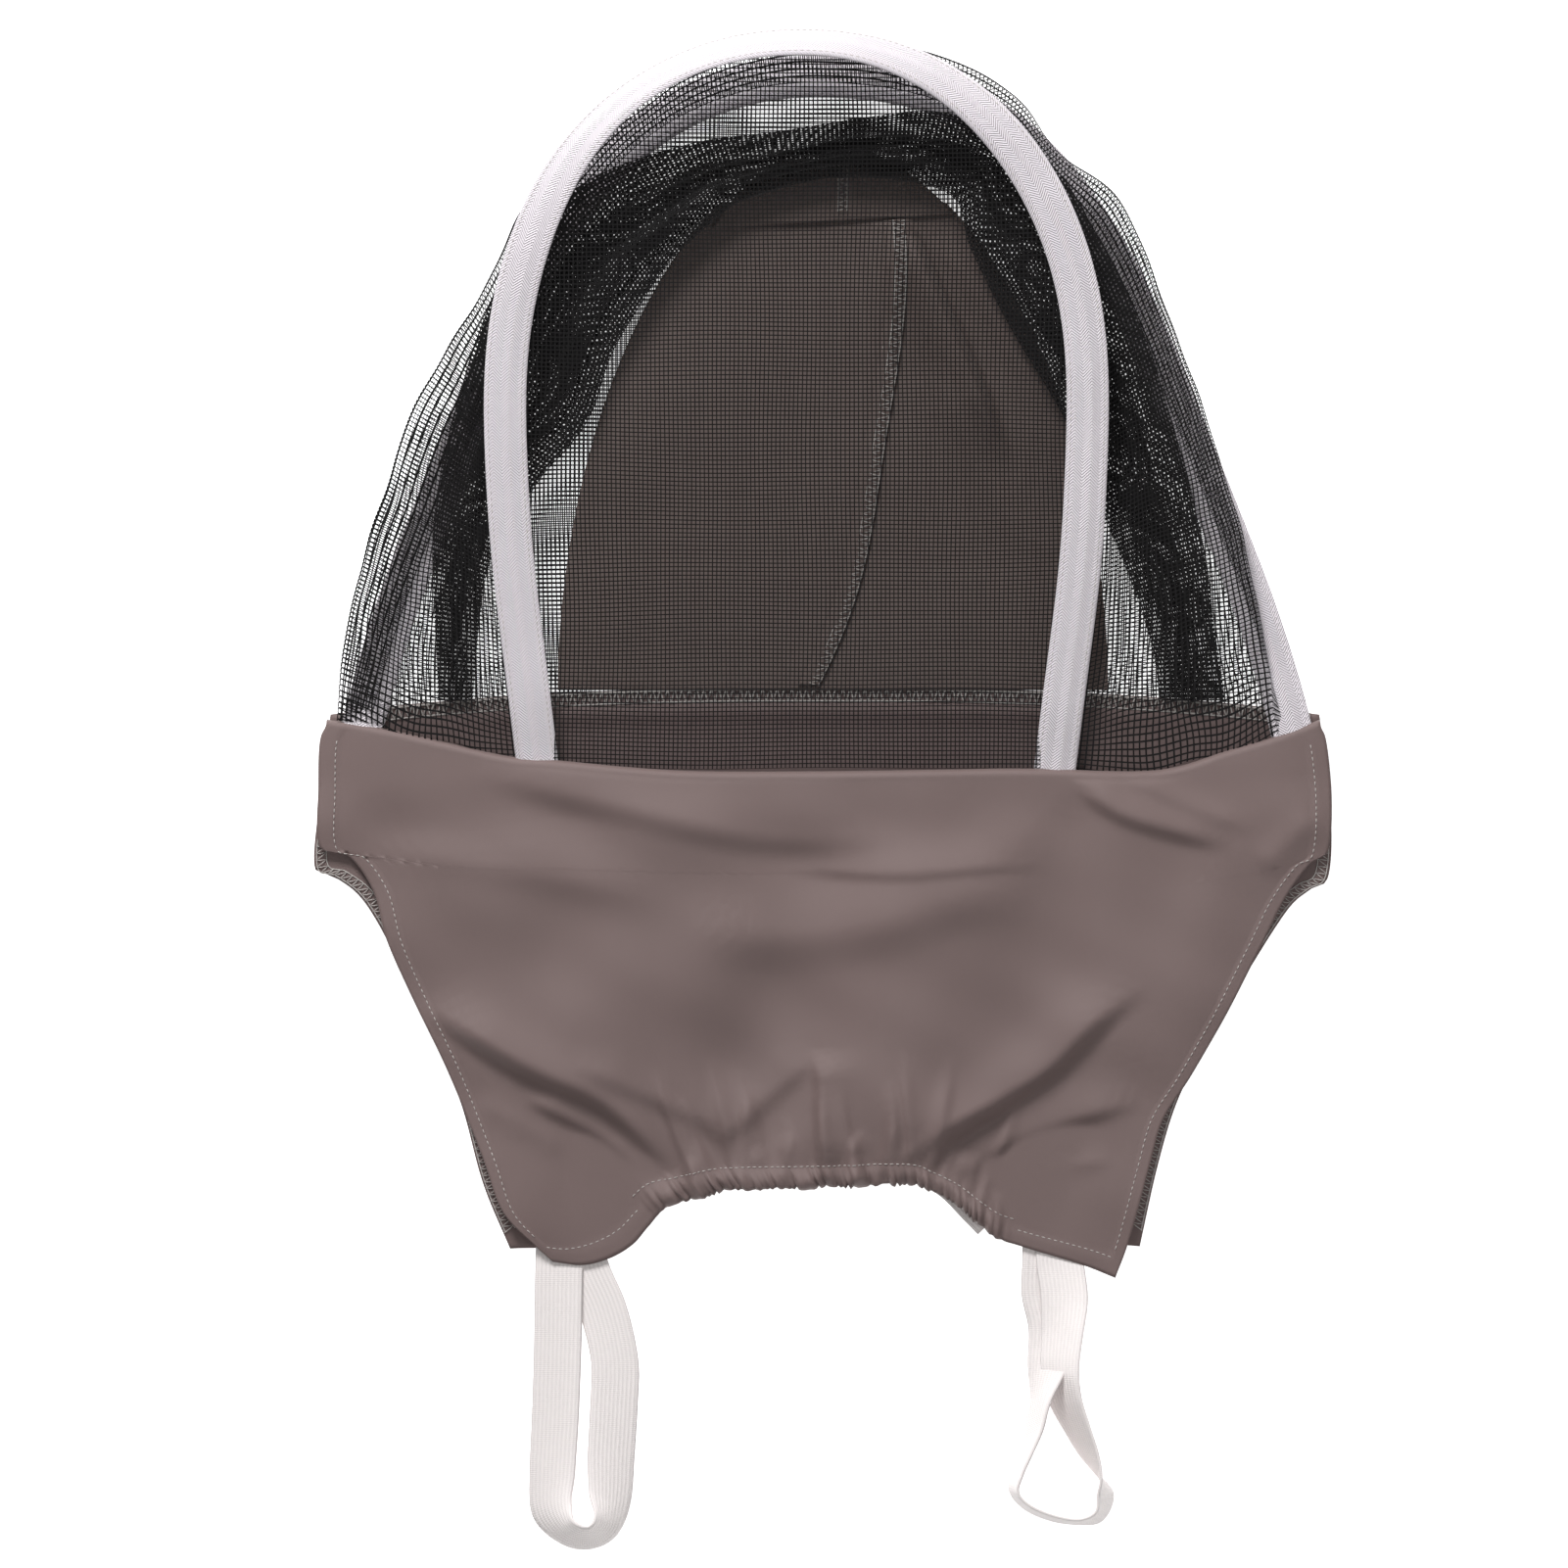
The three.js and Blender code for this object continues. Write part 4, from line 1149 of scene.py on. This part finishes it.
def back_yoke(u, v):
    place = coons(u, v, BACK_LEFT, BACK_RIGHT, BACK_HEM, BACK_NECK)
    x, y = place[:, 0], place[:, 1]
    z = 0.6 + 0.25 * (1 + ripple(x, y, 60, 91)) * smooth(v, 0, 0.1)
    z += fold(x, y, [(-210, 30), (-120, 34.5), (0, 36), (120, 34.5), (210, 30)], 1.9, 3.4, 0.3)
    return np.column_stack([place, z])


def over_front(u, v):
    """A line on top of the front yoke, in which u or v may be one number."""
    return front_yoke(*np.broadcast_arrays(np.asarray(u, float), v)) + np.array([0, 0, THREAD_LIFT])


class HOOD_OT_back_yoke(HoodOperator, bpy.types.Operator):
    """Make the back yoke, which lies under the front one and is sewn to the hood at the neck"""

    bl_idname = "hood.back_yoke"
    bl_label = "Back yoke"

    def execute(self, context):
        thick = self.sizes.cloth_thickness / MM
        panel = cloth("back_yoke_cloth", back_yoke, 150, 110, (446, 245), thick, finish_of("taupe_cloth"))
        settle_across(panel, *NECK_TURN, "cloth", "back_yoke_panel")
        neck = back_yoke(np.linspace(0.01, 0.99, 420), np.full(420, 0.998)) + np.array([0, 0, 0.5])
        looped = overlock(neck, np.tile([0.0, -1.0, 0.0], (420, 1)), 5.4, 3.2, 0.25)
        settle_across(threads("neck_overlock_threads", looped, 0.36), *NECK_TURN, "thread", "neck_overlock")
        lines = []
        for side, way in ((0.002, 1.0), (0.998, -1.0)):
            edge = back_yoke(np.full(260, side), np.linspace(0.03, 0.79, 260)) + np.array([0, 0, 0.35])
            lines += overlock(edge, np.tile([way, 0.45, 0.0], (260, 1)), 4.6, 3.0, 0.2)
        settle_across(threads("back_armhole_overlock", lines, 0.22), *NECK_TURN, "thread")
        return {"FINISHED"}


class HOOD_OT_front_yoke(HoodOperator, bpy.types.Operator):
    """Make the front yoke and its topstitching, the elastic of both hems and the loops' tacks"""

    bl_idname = "hood.front_yoke"
    bl_label = "Front yoke"

    def execute(self, context):
        thick = self.sizes.cloth_thickness / MM
        panel = cloth("front_yoke_cloth", front_yoke, 250, 150, (446, 238), thick, finish_of("taupe_cloth"))
        settle_across(panel, *NECK_TURN, "cloth", "front_yoke_panel")
        left, right = 0.0165, 0.9835
        for name, u, low in (("left_armhole", left, 0.045), ("right_armhole", right, 0.04)):
            self.row(name, [over_front(u, np.linspace(low, 0.9, 400))])
        hem = [over_front(np.linspace(GATHER_START - GATHER_EASE, GATHER_END + GATHER_EASE, 700), 0.047)]
        for low, high in ((left, GATHER_START - 0.025), (GATHER_END + 0.025, right)):
            hem.append(over_front(np.linspace(low, high, 200), 0.028))
        self.row("front_hem", hem)
        self.elastic()
        self.tacks()
        return {"FINISHED"}

    def row(self, name, lines):
        pitch = self.sizes.stitch_pitch / MM
        seam = stitches(f"{name}_stitches", lines, pitch, pitch * 0.76, 0.24)
        settle_across(seam, *NECK_TURN, "thread", f"{name}_stitching")

    def elastic(self):
        """The elastic inside the hem casings. The front one's right end shows past the cloth."""
        front = [(-72, -176, 2.6, 110, 0), (-40, -167, 2.6, 96, 0), (0, -166, 2.6, 90, 0),
                 (36, -166, 2.4, 84, 0), (52, -173, 2.2, 66, 0), (65, -185.5, 2.2, 48, 0),
                 (71, -191.5, 2.2, 44, 0)]
        back = [(-80, -174, 1.6, 110, 0), (-40, -162, 1.6, 96, 0), (0, -160, 1.6, 90, 0),
                (40, -162, 1.6, 84, 0), (80, -174, 1.6, 70, 0)]
        for name, sections in (("front_hem_elastic", front), ("back_hem_elastic", back)):
            piece, long = band(f"{name}_band", sections, 9.0, 60, 0.8)
            settle(piece, "yoke", "elastic", name)

    def tacks(self):
        """A short dense zigzag where each end of each loop is sewn to a yoke corner."""
        for name, x, y in (("left_front_tack", -107, -203), ("right_front_tack", 98, -201),
                           ("left_back_tack", -117, -203), ("right_back_tack", 105, -201)):
            zigzag = [(x + 1.2 * (-1) ** i, y + 0.35 * i, 2.4) for i in range(12)]
            settle(threads(f"{name}_threads", [zigzag], 0.2), "yoke", "thread", name)


# ---------------------------------------------------------------- elastic loops


def band(name, sections, width, rows, thick):
    """A flat band of elastic, and its length in metres. Each section is the middle's x, y and z,
    then the way across it: its heading from X and its lean out of the level, in degrees."""
    sections = np.array(sections, float)
    heading, lean = np.radians(sections[:, 3]), np.radians(sections[:, 4])
    level = np.cos(lean)
    across = np.column_stack([np.cos(heading) * level, np.sin(heading) * level, np.sin(lean)])
    middle = spline(sections[:, :3])
    side = spline(across)
    side *= width / 2 / np.linalg.norm(side, axis=1)[:, None]
    along = lengths(middle)

    def surface(u, v):
        at = v * along[-1]
        centre, out = (np.column_stack([np.interp(at, along, line[:, k]) for k in range(3)])
                       for line in (middle, side))
        return centre + out * (2 * u - 1)[:, None]

    piece = cloth(name, surface, 10, rows, (width, along[-1]), thick, finish_of("ribbed_elastic"))
    return piece, along[-1] * MM


# Where the loops start and end their bend at the yoke's edge, then their sections.
LOOP_TURN = ((0, -204.5, 0), (0, -219.5, 0))
LEFT_LOOP = (
    (-116, -199, 2.2, 0, 0), (-116.5, -214, 2.6, 0, 0), (-117, -245, 3.0, 0, 5),
    (-118, -275, 3.4, 2, 9), (-119.3, -300, 4.2, 6, 15), (-119.3, -315, 5.4, 24, 28),
    (-112.5, -324.5, 8.2, 66, 50), (-103, -327, 9.2, 92, 56), (-95.8, -321.5, 8.2, 128, 48),
    (-94, -309, 5.2, 162, 26), (-93.5, -292, 3.6, 173, 13), (-92.3, -270, 2.6, 178, 6),
    (-92, -250, 2.0, 180, 3), (-97, -228, 1.5, 192, 0), (-104, -212, 1.4, 198, 0), (-108, -199, 1.4, 196, 0),
)
RIGHT_LOOP = (
    (103.5, -197, 2.2, 180, 0), (104, -208, 3.0, 180, -4), (105.6, -222, 6.0, 180, -14),
    (104.6, -237, 9.5, 178, -34), (103.4, -252, 12.5, 182, -42), (105.6, -266, 12.5, 198, -50),
    (111, -279, 11.5, 207, -60), (116, -290, 10.5, 204, -69), (120, -299, 10.2, 190, -84),
    (123.4, -308, 10.2, 168, -112), (120.5, -317.5, 10.2, 122, -110), (111.5, -320, 10.2, 95, -102),
    (100, -318.3, 10.2, 79, -102), (89, -313.5, 10.2, 64, -101), (83.2, -306.5, 10.2, 20, -99),
    (85, -298, 10.2, -16, -99), (88.4, -289, 10.0, -22, -102), (92.2, -278, 9.8, -18, -108),
    (95.1, -265, 9.6, -6, -113), (98.5, -250, 6.4, 0, -145), (100.2, -236, 3.6, 0, -165),
    (97.4, -221, 1.6, 0, -178), (97.8, -205, 1.4, 0, -180), (98, -197, 1.4, 0, -180),
)


class HOOD_OT_loops(HoodOperator, bpy.types.Operator):
    """Make the two flat elastic loops that go under the arms"""

    bl_idname = "hood.loops"
    bl_label = "Elastic loops"

    def execute(self, context):
        width = self.sizes.elastic_width / MM
        for name, sections in (("left", LEFT_LOOP), ("right", RIGHT_LOOP)):
            loop, long = band(f"{name}_underarm_loop", sections, width, 280, 1.1)
            settle_across(loop, ("yoke", f"{name}_loop"), *LOOP_TURN, "elastic", f"{name}_elastic_loop")
            min(sheet_area(loop), width * MM * long)
        return {"FINISHED"}


# ---------------------------------------------------------------- add-on


class HOOD_PT_panel(bpy.types.Panel):
    """The hood's sizes and the steps that build it"""

    bl_label = "Beekeeping Hood"
    bl_idname = "HOOD_PT_panel"
    bl_space_type = "VIEW_3D"
    bl_region_type = "UI"
    bl_category = "Hood"

    def draw(self, context):
        layout = self.layout
        for group in (context.scene.hood_sizes, context.scene.hood_colours):
            column = layout.column()
            for key in type(group).__annotations__:
                column.prop(group, key)
        for step in STEPS:
            layout.operator(step.bl_idname)


STEPS = (HOOD_OT_stage, HOOD_OT_back_yoke, HOOD_OT_front_yoke, HOOD_OT_rear_frame, HOOD_OT_hood_back,
         HOOD_OT_gusset, HOOD_OT_face_frame, HOOD_OT_loops)
CLASSES = (HoodSizes, HoodColours, *STEPS, HOOD_PT_panel)


def register():
    for cls in CLASSES:
        bpy.utils.register_class(cls)
    bpy.types.Scene.hood_sizes = bpy.props.PointerProperty(type=HoodSizes)
    bpy.types.Scene.hood_colours = bpy.props.PointerProperty(type=HoodColours)


def unregister():
    del bpy.types.Scene.hood_colours
    del bpy.types.Scene.hood_sizes
    for cls in reversed(CLASSES):
        bpy.utils.unregister_class(cls)


def main():
    register()
    for step in STEPS:
        group, name = step.bl_idname.split(".")
        getattr(getattr(bpy.ops, group), name)()


if __name__ == "__main__":
    main()
